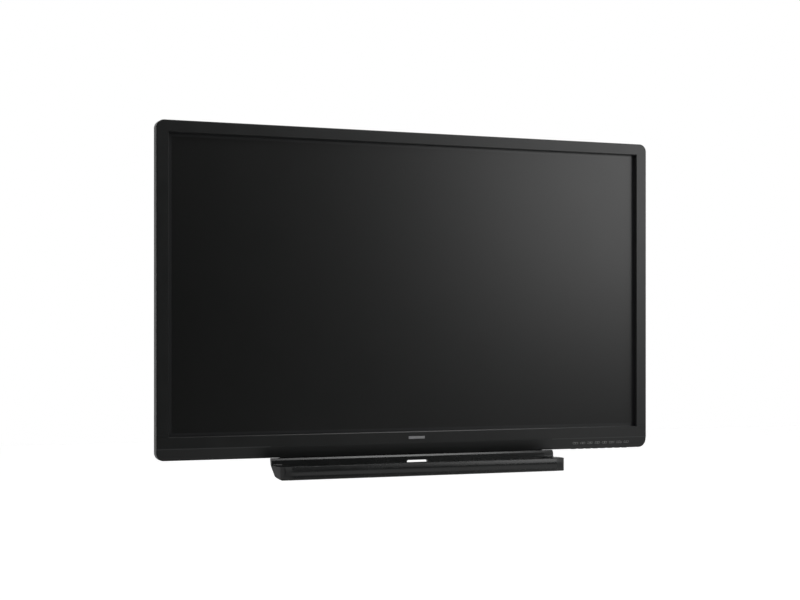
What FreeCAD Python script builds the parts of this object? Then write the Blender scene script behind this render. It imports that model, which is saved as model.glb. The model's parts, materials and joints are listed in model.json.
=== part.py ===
import FreeCAD, Part
import math
import os

# A 70 inch interactive display with a pen tray, hung on a wall by four bosses at its back.
# Millimetres. +X is the viewer's right, -Y is towards the viewer and +Z is up.
# The origin is the centre of the four mounting bosses, on the plane that meets the wall plate.
# Depths are measured backwards from the front plane of the bezel, reaches forwards from it.

# Picture and bezel
ACTIVE_WIDTH = 1539.0
ACTIVE_HEIGHT = 865.6
BORDER_SIDE = 13.0
BORDER_TOP = 11.5
BORDER_BOTTOM = 11.5
CHAMFER = 2.2
FACE_SIDE = 35.3
FACE_TOP = 34.2
FACE_BOTTOM = 67.7
DEPTH = 116.0
CORNER_RADIUS = 24.0
EDGE_RADIUS = 3.0
BEZEL_WALL = 3.0
BEZEL_SKIRT = 28.0
CREASE_HEIGHT = 34.5
CREASE_RADIUS = 14.0
LOWER_SLOPE = 12.0
LIP_DEPTH = 5.0
LIP_THICKNESS = 8.0
SEAM_GAP = 0.2
PLATE_WIDTH = 54.0
PLATE_HEIGHT = 8.0
PLATE_THICKNESS = 1.2
PLATE_PROUD = 0.4
PLATE_CLEARANCE = 0.1

# Touch sensing around the picture
RECESS = 17.0
FILTER_THICKNESS = 2.5
EMITTER_SIZE = 3.0
EMITTER_PITCH = 45.0
BOARD_THICKNESS = 1.6

# Panel stack, front to back
GLASS_THICKNESS = 4.0
GLASS_OVERLAP = 8.0
GASKET_THICKNESS = 2.0
GASKET_WIDTH = 7.0
GASKET_MARGIN = 1.0
MODULE_MARGIN = 9.0
FRAME_SHEET = 1.0
CELL_THICKNESS = 2.4
CELL_MARGIN = 5.0
MID_FRAME_WALL = 1.9
MID_FRAME_LEDGE = 2.0
SHEET_THICKNESS = 0.4
SHEET_COUNT = 3
SHEET_MARGIN = 3.5
GUIDE_THICKNESS = 4.0
GUIDE_MARGIN = 1.0
REFLECTOR_THICKNESS = 0.4
CHASSIS_SHEET = 1.5
STACK_CLEARANCE = 0.3
LED_SIZE = 1.8
LED_PITCH = 24.0
LED_GAP = 0.3

# Rear cover
COVER_WALL = 2.5
STEP_INSET = 28.0
STEP_TAPER = 16.0
STEP_RADIUS = 16.0
STEP_DEPTH = 62.0
HOUSING_WIDTH = 1180.0
HOUSING_HEIGHT = 640.0
HOUSING_RADIUS = 18.0
BOSS_STAND_OUT = 4.0
VENT_WIDTH = 3.5
VENT_LENGTH = 50.0
VENT_PITCH = 11.0
VENT_COUNT = 26
VENT_EDGE = 26.0
GRILLE_COUNT = 9
GRILLE_SLOT_WIDTH = 1.75

# Wall mounting
MOUNT_PITCH = 400.0
MOUNT_BORE_RADIUS = 3.0
MOUNT_BOSS_RADIUS = 9.0
MOUNT_CLEARANCE = 0.5
RAIL_WIDTH = 60.0
RAIL_FOOT = 15.0
RAIL_SHEET = 2.5
RAIL_LENGTH = 560.0
RAIL_TO_COVER = 3.5
BRACE_HEIGHT = 40.0
BRACE_INSET = 40.0
BRACE_LIP = 12.0

# Electronics on the chassis
STANDOFF_HEIGHT = 10.0
STANDOFF_RADIUS = 3.0
STANDOFF_INSET = 8.0
SPEAKER_WIDTH = 160.0
SPEAKER_HEIGHT = 74.0
SPEAKER_RADIUS = 6.0
SPEAKER_CLEARANCE = 0.3
SPEAKER_FROM_SIDE = 200.0
SPEAKER_CONE_RADIUS = 24.0
SPEAKER_CONE_DEPTH = 8.0
SPEAKER_CAP_RADIUS = 8.0

# Terminals in the lower wall of the housing
TERMINAL_X = 400.0
TERMINAL_WIDTH = 260.0
TERMINAL_HEIGHT = 34.0
TERMINAL_SHEET = 1.5
TERMINAL_FLANGE = 6.0
TERMINAL_EDGE = 4.0
SOCKET_DEPTH = 20.0
SOCKET_HOLLOW = 12.0
SOCKET_SHELL = 1.4
SOCKET_CLEARANCE = 0.3
AUDIO_BORE_RADIUS = 2.0
AUDIO_BORE_DEPTH = 14.0
INLET_X = -430.0
INLET_WIDTH = 30.0
INLET_HEIGHT = 22.0
INLET_BODY = 26.0
INLET_FLANGE = 9.0
INLET_FLANGE_THICKNESS = 2.0
INLET_WALL = 2.75
INLET_END = 8.25
INLET_PIN_LENGTH = 14.0
INLET_PIN_PITCH = 7.0
INLET_PIN_OFFSET = 2.0
INLET_PIN_THICKNESS = 2.0
INLET_PIN_HEIGHT = 4.0

# Mains switch beside the inlet
SWITCH_X = -350.0
SWITCH_CAVITY_WIDTH = 22.0
SWITCH_CAVITY_HEIGHT = 16.0
SWITCH_WALL = 2.5
SWITCH_FLANGE = 3.0
SWITCH_FLANGE_THICKNESS = 2.0
SWITCH_TILT = 7.0
SWITCH_HEADROOM = 4.0
ROCKER_WIDTH = 20.0
ROCKER_HEIGHT = 15.0
ROCKER_FACE = 6.0
ROCKER_SHOULDER = 1.0
ROCKER_HEEL = 4.0
ROCKER_HEEL_HALF = 6.0
ROCKER_HEEL_RADIUS = 2.0
ROCKER_VALLEY_RADIUS = 4.0
ROCKER_EDGE_RADIUS = 0.8
ROCKER_PIN_RADIUS = 1.5
ROCKER_PIN_REACH = 1.5
PIN_CLEARANCE = 0.05

# Push keys in the underside of the bezel
KEY_PITCH = 26.9
KEY_ROW_FROM_RIGHT = 168.0
KEY_WIDTH = 16.0
KEY_DEPTH = 7.0
KEY_CENTRE_DEPTH = 17.5
KEY_PROUD = 1.2
KEY_FLANGE = 2.0
KEY_FLANGE_THICKNESS = 1.5
KEY_STEM = 4.0
KEY_STEM_LENGTH = 3.0
KEY_CLEARANCE = 0.3
KEY_SEAT = 0.2
KEY_TRAVEL = 1.0
KEY_STOP = 0.05
TACT_SIZE = 6.0
TACT_HEIGHT = 3.5
KEY_NAMES = ["power", "menu", "enter", "input", "up", "down", "left", "right"]

# Screws that join the bezel, the chassis and the rear cover
SCREW_RADIUS = 1.5
SCREW_CLEARANCE = 0.05
SCREW_HEAD_RADIUS = 3.5
SCREW_HEAD = 2.0
SCREW_BITE = 9.0
PILOT_SPARE = 2.0
SCREW_BOSS_RADIUS = 4.5
SCREW_INSET = 14.0
EAR_WIDTH = 13.0
SIDE_SCREW_COUNT = 4
SIDE_SCREW_PITCH = 250.0
TOP_SCREW_COUNT = 5
TOP_SCREW_PITCH = 300.0
BOTTOM_SCREW_TO_KEYS = 54.4
BOTTOM_SCREW_TO_BRACKET = 25.0

# Handles on the rear cover
HANDLE_LENGTH = 150.0
HANDLE_REACH = 38.0
HANDLE_THICKNESS = 16.0
HANDLE_FOOT = 20.0
HANDLE_WIDTH = 22.0
HANDLE_RADIUS = 14.0

# Pen tray under the bezel
TRAY_LENGTH = 945.0
TRAY_GAP = 1.5
TRAY_CLEARANCE = 0.3
TRAY_WALL = 3.0
TRAY_LEDGE_BACK = 8.0
TRAY_FLANGE_BACK = 27.0
TRAY_LEDGE_FRONT = 0.5
TRAY_BEVEL_REACH = 4.5
TRAY_BEVEL_DROP = 5.0
TRAY_RIB_FRONT = 12.0
TRAY_RIB = 3.0
TRAY_TROUGH_BACK = 6.0
TRAY_TROUGH_FRONT = 60.0
TRAY_TROUGH_DROP = 38.0
TRAY_TROUGH_FALL = 10.0
TRAY_LIP_BACK = 70.0
TRAY_LIP_FRONT = 95.0
TRAY_LIP_DROP = 18.5
TRAY_LIP_FALL = 1.5
TRAY_REACH = 101.0
TRAY_NOSE_DROP = 40.0
TRAY_FOOT_REACH = 86.0
TRAY_DROP = 61.0
TRAY_KEEL_REACH = -4.0
TRAY_KEEL_DROP = 52.0
TRAY_TROUGH_RADIUS = 6.0
TRAY_LIP_RADIUS = 1.5
TRAY_NOSE_RADIUS = 30.0
TRAY_FOOT_RADIUS = 6.0
TRAY_KEEL_RADIUS = 12.0
TRAY_EDGE_RADIUS = 2.0
TRAY_BACK_RADIUS = 1.0
TRAY_HOLLOW_RADIUS = 0.5
TRAY_END = 34.0
TRAY_END_RADIUS = 24.0
TRAY_END_SLANT = 4.0
TRAY_END_FLAT = 8.0
TRAY_END_BEND_RADIUS = 60.0
TRAY_END_STEP = 20.5
TRAY_END_WAIST_REACH = -3.0
TRAY_END_KEEL_REACH = 34.0
TRAY_END_KEEL_DROP = 52.0
TRAY_END_EDGE_RADIUS = 3.0
TRAY_END_CROWN_RADIUS = 8.0
TRAY_END_SOLE_RADIUS = 12.0
SLOT_WIDTH = 70.0
SLOT_TOP = 18.0
SLOT_HEIGHT = 13.0
SLOT_CHAMFER = 3.0
BRACKET_X = 300.0
BRACKET_WIDTH = 60.0
BRACKET_THICKNESS = 3.0
BRACKET_LEG = 26.0
BRACKET_ARM_FRONT = 11.0
BRACKET_SCREW_PITCH = 36.0
BRACKET_SCREW_DEPTH = 19.0

# Places that follow from the sizes above
WIDTH = ACTIVE_WIDTH + 2 * (BORDER_SIDE + CHAMFER + FACE_SIDE)
HEIGHT = FACE_BOTTOM + BORDER_BOTTOM + ACTIVE_HEIGHT + BORDER_TOP + FACE_TOP + 2 * CHAMFER
FRONT = -DEPTH
LEFT = -WIDTH / 2
RIGHT = WIDTH / 2
BOTTOM = -HEIGHT / 2
TOP = HEIGHT / 2
OPEN_RIGHT = ACTIVE_WIDTH / 2 + BORDER_SIDE
OPEN_BOTTOM = BOTTOM + FACE_BOTTOM + CHAMFER
ACTIVE_BOTTOM = OPEN_BOTTOM + BORDER_BOTTOM
ACTIVE_TOP = ACTIVE_BOTTOM + ACTIVE_HEIGHT
OPEN_TOP = ACTIVE_TOP + BORDER_TOP
SLOPE_BACK = CREASE_HEIGHT * math.tan(math.radians(LOWER_SLOPE))

GLASS_BACK = RECESS + GLASS_THICKNESS
FRAME_FRONT = GLASS_BACK + GASKET_THICKNESS
CELL_FRONT = FRAME_FRONT + FRAME_SHEET
CELL_BACK = CELL_FRONT + CELL_THICKNESS
LEDGE_BACK = CELL_BACK + MID_FRAME_LEDGE
SHEETS_BACK = LEDGE_BACK + SHEET_COUNT * SHEET_THICKNESS
GUIDE_BACK = SHEETS_BACK + GUIDE_THICKNESS
CHASSIS_FRONT = GUIDE_BACK + REFLECTOR_THICKNESS
CHASSIS_BACK = CHASSIS_FRONT + CHASSIS_SHEET
EAR_FRONT = BEZEL_SKIRT - CHASSIS_SHEET

FLANGE_BACK = BEZEL_SKIRT + COVER_WALL
COVER_BACK = DEPTH - BOSS_STAND_OUT
RAIL_BACK = COVER_BACK - COVER_WALL - RAIL_TO_COVER
HOUSING_BOTTOM = -HOUSING_HEIGHT / 2
TERMINAL_TOP = HOUSING_BOTTOM + COVER_WALL + TERMINAL_SHEET
TERMINAL_DEPTH = STEP_DEPTH + TERMINAL_EDGE
BOARD_FRONT = CHASSIS_BACK + STANDOFF_HEIGHT
MAIN_BOARD_FRONT = TERMINAL_DEPTH - BOARD_THICKNESS
INLET_DEPTH = (STEP_DEPTH + COVER_BACK) / 2
SPEAKER_X = RIGHT - SPEAKER_FROM_SIDE
KEY_ROW_X = RIGHT - KEY_ROW_FROM_RIGHT
KEY_ROW_LENGTH = KEY_PITCH * len(KEY_NAMES)
KEY_FLANGE_BOTTOM = BOTTOM + BEZEL_WALL + KEY_SEAT
KEY_STEM_TOP = KEY_FLANGE_BOTTOM + KEY_FLANGE_THICKNESS + KEY_STEM_LENGTH
TACT_BOTTOM = KEY_STEM_TOP + KEY_TRAVEL + KEY_STOP
KEY_BOARD_BOTTOM = TACT_BOTTOM + TACT_HEIGHT
ROCKER_PIVOT_Z = HOUSING_BOTTOM - SWITCH_FLANGE_THICKNESS + ROCKER_FACE
HANDLE_X = (HOUSING_WIDTH / 2 + WIDTH / 2 - STEP_INSET - STEP_TAPER) / 2
# Cuts run this far past the face that they open.
PAST = 1.0


def vector(x, depth, z):
    return FreeCAD.Vector(x, FRONT + depth, z)


def slab(x0, x1, depth0, depth1, z0, z1):
    """A box between two values along each axis."""
    return Part.makeBox(x1 - x0, depth1 - depth0, z1 - z0, vector(x0, depth0, z0))


def post(x, z, radius, depth0, depth1):
    """A round bar along the depth."""
    return Part.makeCylinder(radius, depth1 - depth0, vector(x, depth0, z), FreeCAD.Vector(0, 1, 0))


def upright(x, depth, radius, z0, z1):
    """A round bar along Z."""
    return Part.makeCylinder(radius, z1 - z0, vector(x, depth, z0))


def joined(shapes):
    """One solid out of pieces that touch or overlap."""
    return shapes[0].fuse(shapes[1:]).removeSplitter()


def corner_points(before, corner, after, radius):
    """Start, middle and end of the arc that rounds one corner of an outline."""
    back = (before - corner).normalize()
    ahead = (after - corner).normalize()
    half = back.getAngle(ahead) / 2
    middle = (back + ahead).normalize()
    run = radius / math.tan(half)
    near = radius / math.sin(half) - radius
    return corner + back * run, corner + middle * near, corner + ahead * run


def rounded_wire(corners, place):
    """A closed outline through (u, v, radius) corners, put into space by place(u, v)."""
    points = [place(u, v) for u, v, radius in corners]
    edges = []
    starts = []
    ends = []
    for index, (u, v, radius) in enumerate(corners):
        before = points[index - 1]
        after = points[(index + 1) % len(points)]
        if radius == 0:
            starts.append(points[index])
            ends.append(points[index])
            continue
        start, middle, end = corner_points(before, points[index], after, radius)
        starts.append(start)
        ends.append(end)
        edges.append(Part.Arc(start, middle, end).toShape())
    for index in range(len(points)):
        start = ends[index - 1]
        end = starts[index]
        edges.append(Part.LineSegment(start, end).toShape())
    return Part.Wire(Part.__sortEdges__(edges))


def rectangle(x0, x1, z0, z1, depth, radius):
    """A rectangle with round corners, parallel to the picture."""
    corners = [(x0, z0, radius), (x1, z0, radius), (x1, z1, radius), (x0, z1, radius)]
    return rounded_wire(corners, lambda x, z: vector(x, depth, z))


def rounded_block(x0, x1, depth0, depth1, z0, z1, radius):
    face = Part.Face(rectangle(x0, x1, z0, z1, depth0, radius))
    return face.extrude(FreeCAD.Vector(0, depth1 - depth0, 0))


def section_bar(corners, x0, x1):
    """A bar along X whose section is given as (depth, z, radius) corners."""
    face = Part.Face(rounded_wire(corners, lambda depth, z: vector(x0, depth, z)))
    return face.extrude(FreeCAD.Vector(x1 - x0, 0, 0))


def tapered_block(front, back):
    """A solid between two outlines of the same build."""
    return Part.makeLoft([front, back], True, True)


def panel_slab(margin, depth0, depth1):
    """A flat layer that stands out past the picture by one margin all round."""
    half = ACTIVE_WIDTH / 2 + margin
    return slab(-half, half, depth0, depth1, ACTIVE_BOTTOM - margin, ACTIVE_TOP + margin)


def panel_ring(outer, inner, depth0, depth1):
    return panel_slab(outer, depth0, depth1).cut(panel_slab(inner, depth0 - PAST, depth1 + PAST))


def spread(count, pitch):
    """Centres of a row of things about zero."""
    return [(index - (count - 1) / 2) * pitch for index in range(count)]


def count_along(length, pitch):
    return int(length // pitch)


def side_screw_points():
    x = RIGHT - SCREW_INSET
    return [(side * x, z) for side in (-1, 1) for z in spread(SIDE_SCREW_COUNT, SIDE_SCREW_PITCH)]


def top_screw_points():
    return [(x, TOP - SCREW_INSET) for x in spread(TOP_SCREW_COUNT, TOP_SCREW_PITCH)]


def bottom_screw_points():
    """One in the middle, and on each side one before the tray's bracket and one before the keys."""
    inner = BRACKET_X - BRACKET_WIDTH / 2 - BOTTOM_SCREW_TO_BRACKET
    outer = KEY_ROW_X - KEY_ROW_LENGTH / 2 - BOTTOM_SCREW_TO_KEYS
    return [(x, BOTTOM + SCREW_INSET) for x in (-outer, -inner, 0.0, inner, outer)]


def bracket_screw_centres():
    return [side * BRACKET_X + x for side in (-1, 1) for x in spread(2, BRACKET_SCREW_PITCH)]


def bracket_screw_points():
    return [(x, BOTTOM + SCREW_INSET) for x in bracket_screw_centres()]


def cover_screw_points():
    corners = [(side * (RIGHT - SCREW_INSET), BOTTOM + SCREW_INSET) for side in (-1, 1)]
    return side_screw_points() + top_screw_points() + bottom_screw_points() + corners


def key_positions():
    return [KEY_ROW_X + x for x in spread(len(KEY_NAMES), KEY_PITCH)]


# The bezel

def bezel_profile(inset, back):
    """Full section of the bezel block, whose lower band leans back under a soft crease."""
    crease = BOTTOM + CREASE_HEIGHT
    corners = [
        (inset, TOP + PAST, 0),
        (back, TOP + PAST, 0),
        (back, BOTTOM - PAST, 0),
        (inset + SLOPE_BACK * (1 + PAST / CREASE_HEIGHT), BOTTOM - PAST, 0),
        (inset, crease, CREASE_RADIUS),
    ]
    return section_bar(corners, LEFT - PAST, RIGHT + PAST)


def front_boundary(shape):
    """Edges round the front of a block, where the front faces meet the skirt."""
    edges = []
    for face in shape.Faces:
        u0, u1, v0, v1 = face.ParameterRange
        if face.normalAt((u0 + u1) / 2, (v0 + v1) / 2).y < -0.7:
            edges.extend(face.Edges)
    return [edge for edge in edges if sum(edge.isSame(other) for other in edges) == 1]


def bezel_skin():
    block = rounded_block(LEFT, RIGHT, 0, BEZEL_SKIRT, BOTTOM, TOP, CORNER_RADIUS)
    block = block.common(bezel_profile(0, BEZEL_SKIRT + PAST))
    block = block.makeFillet(EDGE_RADIUS, front_boundary(block))
    hollow = rounded_block(
        LEFT + BEZEL_WALL, RIGHT - BEZEL_WALL, 0, BEZEL_SKIRT + PAST,
        BOTTOM + BEZEL_WALL, TOP - BEZEL_WALL, CORNER_RADIUS - BEZEL_WALL)
    hollow = hollow.common(bezel_profile(BEZEL_WALL, BEZEL_SKIRT + 2 * PAST))
    lip = slab(
        -OPEN_RIGHT - LIP_THICKNESS, OPEN_RIGHT + LIP_THICKNESS, 0, LIP_DEPTH,
        OPEN_BOTTOM - LIP_THICKNESS, OPEN_TOP + LIP_THICKNESS)
    return block.cut(hollow.cut(lip))


def bezel_opening():
    """The way to the picture, with its chamfered mouth."""
    through = slab(-OPEN_RIGHT, OPEN_RIGHT, -PAST, BEZEL_SKIRT + PAST, OPEN_BOTTOM, OPEN_TOP)
    grow = CHAMFER + PAST
    mouth = slab(
        -OPEN_RIGHT - grow, OPEN_RIGHT + grow, -2 * PAST, CHAMFER, OPEN_BOTTOM - grow, OPEN_TOP + grow)
    throat = [edge for edge in mouth.Edges if edge.BoundBox.YMin > FRONT + CHAMFER / 2]
    return through.fuse(mouth.makeChamfer(grow, throat))


def screw_boss(x, z, top_depth):
    return post(x, z, SCREW_BOSS_RADIUS, BEZEL_WALL, top_depth)


def bezel():
    eared = side_screw_points() + top_screw_points() + bottom_screw_points()
    plain = [point for point in cover_screw_points() + bracket_screw_points() if point not in eared]
    bosses = [screw_boss(x, z, EAR_FRONT) for x, z in eared]
    bosses += [screw_boss(x, z, BEZEL_SKIRT) for x, z in plain]
    inner_front = bezel_profile(BEZEL_WALL / 2, BEZEL_SKIRT + PAST)
    bosses = [boss.common(inner_front) for boss in bosses]
    pilot_front = BEZEL_SKIRT - SCREW_BITE - PILOT_SPARE
    pilots = [
        post(x, z, SCREW_RADIUS + SCREW_CLEARANCE, pilot_front, BEZEL_SKIRT + PAST)
        for x, z in cover_screw_points() + bracket_screw_points()]
    shape = bezel_skin().cut(bezel_opening())
    return shape.fuse(bosses).cut(pilots).removeSplitter()


def key_slot(x):
    half_width = KEY_WIDTH / 2 + KEY_CLEARANCE
    half_depth = KEY_DEPTH / 2 + KEY_CLEARANCE
    return slab(
        x - half_width, x + half_width, KEY_CENTRE_DEPTH - half_depth, KEY_CENTRE_DEPTH + half_depth,
        BOTTOM - PAST, BOTTOM + BEZEL_WALL + PAST)


def key_board_posts():
    """Two posts on the floor of the bezel that carry the key board by its ends."""
    reach = KEY_ROW_LENGTH / 2
    half_depth = KEY_DEPTH / 2
    return [
        slab(
            KEY_ROW_X + side * reach - KEY_STEM / 2, KEY_ROW_X + side * reach + KEY_STEM / 2,
            KEY_CENTRE_DEPTH - half_depth, KEY_CENTRE_DEPTH + half_depth,
            BOTTOM + BEZEL_WALL / 2, KEY_BOARD_BOTTOM)
        for side in (-1, 1)]


def plate_centre():
    return BOTTOM + (CREASE_HEIGHT + FACE_BOTTOM) / 2


def plate_slab(growth, depth0, depth1):
    half_width = PLATE_WIDTH / 2 + growth
    half_height = PLATE_HEIGHT / 2 + growth
    z = plate_centre()
    return slab(-half_width, half_width, depth0, depth1, z - half_height, z + half_height)


def front_frames(whole):
    """The upper frame runs over the top and down both sides, the lower one closes it."""
    reach = WIDTH
    above = slab(-reach, reach, -PAST, DEPTH, OPEN_BOTTOM + SEAM_GAP, TOP + PAST)
    below = slab(-reach, reach, -PAST, DEPTH, BOTTOM - PAST, OPEN_BOTTOM)
    upper = whole.common(above)
    lower = whole.common(below)
    lower = lower.cut([key_slot(x) for x in key_positions()])
    lower = lower.cut(plate_slab(PLATE_CLEARANCE, -PAST, PLATE_THICKNESS - PLATE_PROUD))
    return upper.removeSplitter(), joined([lower] + key_board_posts())


def name_plate():
    return plate_slab(0, -PLATE_PROUD, PLATE_THICKNESS - PLATE_PROUD)


# Touch sensing

def touch_layer(side, offset, thickness, depth0, depth1):
    """A strip along one side of the opening, standing off its wall by offset."""
    near = offset
    far = offset + thickness
    if side == "left":
        return slab(-OPEN_RIGHT - far, -OPEN_RIGHT - near, depth0, depth1, OPEN_BOTTOM, OPEN_TOP)
    if side == "right":
        return slab(OPEN_RIGHT + near, OPEN_RIGHT + far, depth0, depth1, OPEN_BOTTOM, OPEN_TOP)
    reach = OPEN_RIGHT + FILTER_THICKNESS
    if side == "top":
        return slab(-reach, reach, depth0, depth1, OPEN_TOP + near, OPEN_TOP + far)
    return slab(-reach, reach, depth0, depth1, OPEN_BOTTOM - far, OPEN_BOTTOM - near)


def touch_filter(side):
    return touch_layer(side, 0, FILTER_THICKNESS, LIP_DEPTH, RECESS)


def touch_emitters(side):
    """Light sources between the filter and the board, in an even row."""
    half = EMITTER_SIZE / 2
    middle = (LIP_DEPTH + RECESS) / 2
    strip = touch_layer(side, FILTER_THICKNESS, EMITTER_SIZE, middle - half, middle + half)
    box = strip.BoundBox
    if side in ("left", "right"):
        rows = spread(count_along(box.ZLength, EMITTER_PITCH), EMITTER_PITCH)
        centre = (OPEN_TOP + OPEN_BOTTOM) / 2
        return [
            strip.common(slab(LEFT, RIGHT, 0, RECESS, centre + z - half, centre + z + half))
            for z in rows]
    rows = spread(count_along(box.XLength, EMITTER_PITCH), EMITTER_PITCH)
    return [strip.common(slab(x - half, x + half, 0, RECESS, BOTTOM, TOP)) for x in rows]


def touch_board(side):
    offset = FILTER_THICKNESS + EMITTER_SIZE
    board = touch_layer(side, offset, BOARD_THICKNESS, LIP_DEPTH, RECESS)
    return Part.makeCompound([board] + touch_emitters(side))


# Panel stack

def protective_glass():
    return slab(
        -OPEN_RIGHT - GLASS_OVERLAP, OPEN_RIGHT + GLASS_OVERLAP, RECESS, GLASS_BACK,
        OPEN_BOTTOM - GLASS_OVERLAP, OPEN_TOP + GLASS_OVERLAP)


def glass_gasket():
    return panel_ring(GASKET_MARGIN + GASKET_WIDTH, GASKET_MARGIN, GLASS_BACK, FRAME_FRONT)


def module_front_frame():
    """A folded sheet frame over the edge of the panel, standing on the chassis wall."""
    flange = panel_ring(MODULE_MARGIN, GASKET_MARGIN, FRAME_FRONT, CELL_FRONT)
    skirt = panel_ring(MODULE_MARGIN, MODULE_MARGIN - FRAME_SHEET, CELL_FRONT, EAR_FRONT)
    return joined([flange, skirt])


def lcd_cell():
    return panel_slab(CELL_MARGIN, CELL_FRONT, CELL_BACK)


def mid_frame():
    """A moulded frame that keeps the cell, the sheets and the light guide in place."""
    outer = MODULE_MARGIN - CHASSIS_SHEET - STACK_CLEARANCE
    inner = outer - MID_FRAME_WALL
    wall = panel_ring(outer, inner, CELL_FRONT, CHASSIS_FRONT)
    ledge = panel_ring(outer, GUIDE_MARGIN, CELL_BACK, LEDGE_BACK)
    return joined([wall, ledge])


def optical_sheets():
    """Diffuser and prism sheets, one on the other."""
    starts = [LEDGE_BACK + index * SHEET_THICKNESS for index in range(SHEET_COUNT)]
    return Part.makeCompound([
        panel_slab(SHEET_MARGIN, start, start + SHEET_THICKNESS) for start in starts])


def light_guide_plate():
    return panel_slab(GUIDE_MARGIN, SHEETS_BACK, GUIDE_BACK)


def reflector_sheet():
    return panel_slab(GUIDE_MARGIN, GUIDE_BACK, CHASSIS_FRONT)


def led_bar(side):
    """A narrow board on the chassis with a row of lamps that face the light guide."""
    wall_face = ACTIVE_WIDTH / 2 + MODULE_MARGIN - CHASSIS_SHEET - STACK_CLEARANCE - MID_FRAME_WALL
    guide_edge = ACTIVE_WIDTH / 2 + GUIDE_MARGIN
    lamp_inner = guide_edge + LED_GAP
    lamp_outer = lamp_inner + LED_SIZE
    board = slab(lamp_outer, wall_face, SHEETS_BACK, CHASSIS_FRONT, ACTIVE_BOTTOM, ACTIVE_TOP)
    middle = (SHEETS_BACK + GUIDE_BACK) / 2
    half = LED_SIZE / 2
    centre = (ACTIVE_BOTTOM + ACTIVE_TOP) / 2
    lamps = [
        slab(lamp_inner, lamp_outer, middle - half, middle + half, centre + z - half, centre + z + half)
        for z in spread(count_along(ACTIVE_HEIGHT, LED_PITCH), LED_PITCH)]
    shape = Part.makeCompound([board] + lamps)
    if side == "left":
        return shape.mirror(FreeCAD.Vector(0, 0, 0), FreeCAD.Vector(1, 0, 0))
    return shape


def chassis_ear(x, z):
    """A tongue from the chassis wall to one screw boss of the bezel."""
    half = EAR_WIDTH / 2
    middle_of_wall = MODULE_MARGIN - CHASSIS_SHEET / 2
    wall_x = ACTIVE_WIDTH / 2 + middle_of_wall
    if abs(x) > wall_x:
        x0, x1 = sorted([math.copysign(wall_x, x), x + math.copysign(half, x)])
        return slab(x0, x1, EAR_FRONT, BEZEL_SKIRT, z - half, z + half)
    if z > 0:
        z0, z1 = ACTIVE_TOP + middle_of_wall, z + half
    else:
        z0, z1 = z - half, ACTIVE_BOTTOM - middle_of_wall
    return slab(x - half, x + half, EAR_FRONT, BEZEL_SKIRT, z0, z1)


def panel_chassis():
    """The steel tray behind the panel, with the ears that the bezel is screwed to."""
    base = panel_slab(MODULE_MARGIN, CHASSIS_FRONT, CHASSIS_BACK)
    wall = panel_ring(MODULE_MARGIN, MODULE_MARGIN - CHASSIS_SHEET, EAR_FRONT, CHASSIS_FRONT)
    points = side_screw_points() + top_screw_points() + bottom_screw_points()
    ears = [chassis_ear(x, z) for x, z in points]
    holes = [
        post(x, z, SCREW_RADIUS + SCREW_CLEARANCE, EAR_FRONT - PAST, BEZEL_SKIRT + PAST)
        for x, z in points]
    return joined([base, wall] + ears).cut(holes)


# Wall mounting

def mount_points():
    half = MOUNT_PITCH / 2
    return [(x, z) for x in (-half, half) for z in (-half, half)]


def mount_rail(x):
    """A deep folded channel from the chassis to the mounting bosses."""
    half = RAIL_WIDTH / 2
    end = RAIL_LENGTH / 2
    parts = [slab(x - half, x + half, RAIL_BACK - RAIL_SHEET, RAIL_BACK, -end, end)]
    for side in (-1, 1):
        x0, x1 = sorted([x + side * half, x + side * (half - RAIL_SHEET)])
        parts.append(slab(x0, x1, CHASSIS_BACK, RAIL_BACK, -end, end))
        x0, x1 = sorted([x + side * (half + RAIL_FOOT), x + side * (half - RAIL_SHEET)])
        parts.append(slab(x0, x1, CHASSIS_BACK, CHASSIS_BACK + RAIL_SHEET, -end, end))
    holes = [
        post(px, z, MOUNT_BORE_RADIUS, RAIL_BACK - RAIL_SHEET - PAST, RAIL_BACK + PAST)
        for px, z in mount_points() if px * x > 0]
    return joined(parts).cut(holes)


def mount_bosses():
    bosses = []
    for x, z in mount_points():
        boss = post(x, z, MOUNT_BOSS_RADIUS, RAIL_BACK, DEPTH)
        bosses.append(boss.cut(post(x, z, MOUNT_BORE_RADIUS, RAIL_BACK - PAST, DEPTH + PAST)))
    return Part.makeCompound(bosses)


def cross_brace(z):
    """A flanged bar that ties the two rails together."""
    reach = MOUNT_PITCH / 2 - RAIL_WIDTH / 2
    half = BRACE_HEIGHT / 2
    web = slab(-reach, reach, RAIL_BACK - RAIL_SHEET, RAIL_BACK, z - half, z + half)
    lips = [
        slab(-reach, reach, RAIL_BACK - BRACE_LIP, RAIL_BACK, z + low, z + low + RAIL_SHEET)
        for low in (-half, half - RAIL_SHEET)]
    return joined([web] + lips)


# Electronics

# Each board is given by its left and right, its bottom and top, and its largest components
# as (x from the left, z from the bottom, width, height, depth).
POWER_BOARD = (-550.0, -270.0, -250.0, 150.0)
POWER_COMPONENTS = [
    (20.0, 20.0, 60.0, 50.0, 34.0), (100.0, 30.0, 46.0, 46.0, 38.0), (170.0, 25.0, 12.0, 110.0, 30.0),
    (205.0, 30.0, 22.0, 22.0, 40.0), (235.0, 30.0, 22.0, 22.0, 40.0), (30.0, 160.0, 70.0, 60.0, 30.0),
    (130.0, 180.0, 14.0, 140.0, 32.0), (180.0, 200.0, 60.0, 60.0, 28.0), (30.0, 280.0, 50.0, 60.0, 24.0),
    (200.0, 300.0, 44.0, 40.0, 20.0)]
MAIN_BOARD_TOP = -60.0
MAIN_COMPONENTS = [
    (60.0, 90.0, 60.0, 60.0, 14.0), (150.0, 100.0, 24.0, 18.0, 3.0), (150.0, 135.0, 24.0, 18.0, 3.0),
    (190.0, 90.0, 40.0, 30.0, 8.0), (20.0, 190.0, 70.0, 18.0, 9.0), (130.0, 190.0, 90.0, 18.0, 9.0),
    (30.0, 110.0, 14.0, 14.0, 12.0)]
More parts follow.
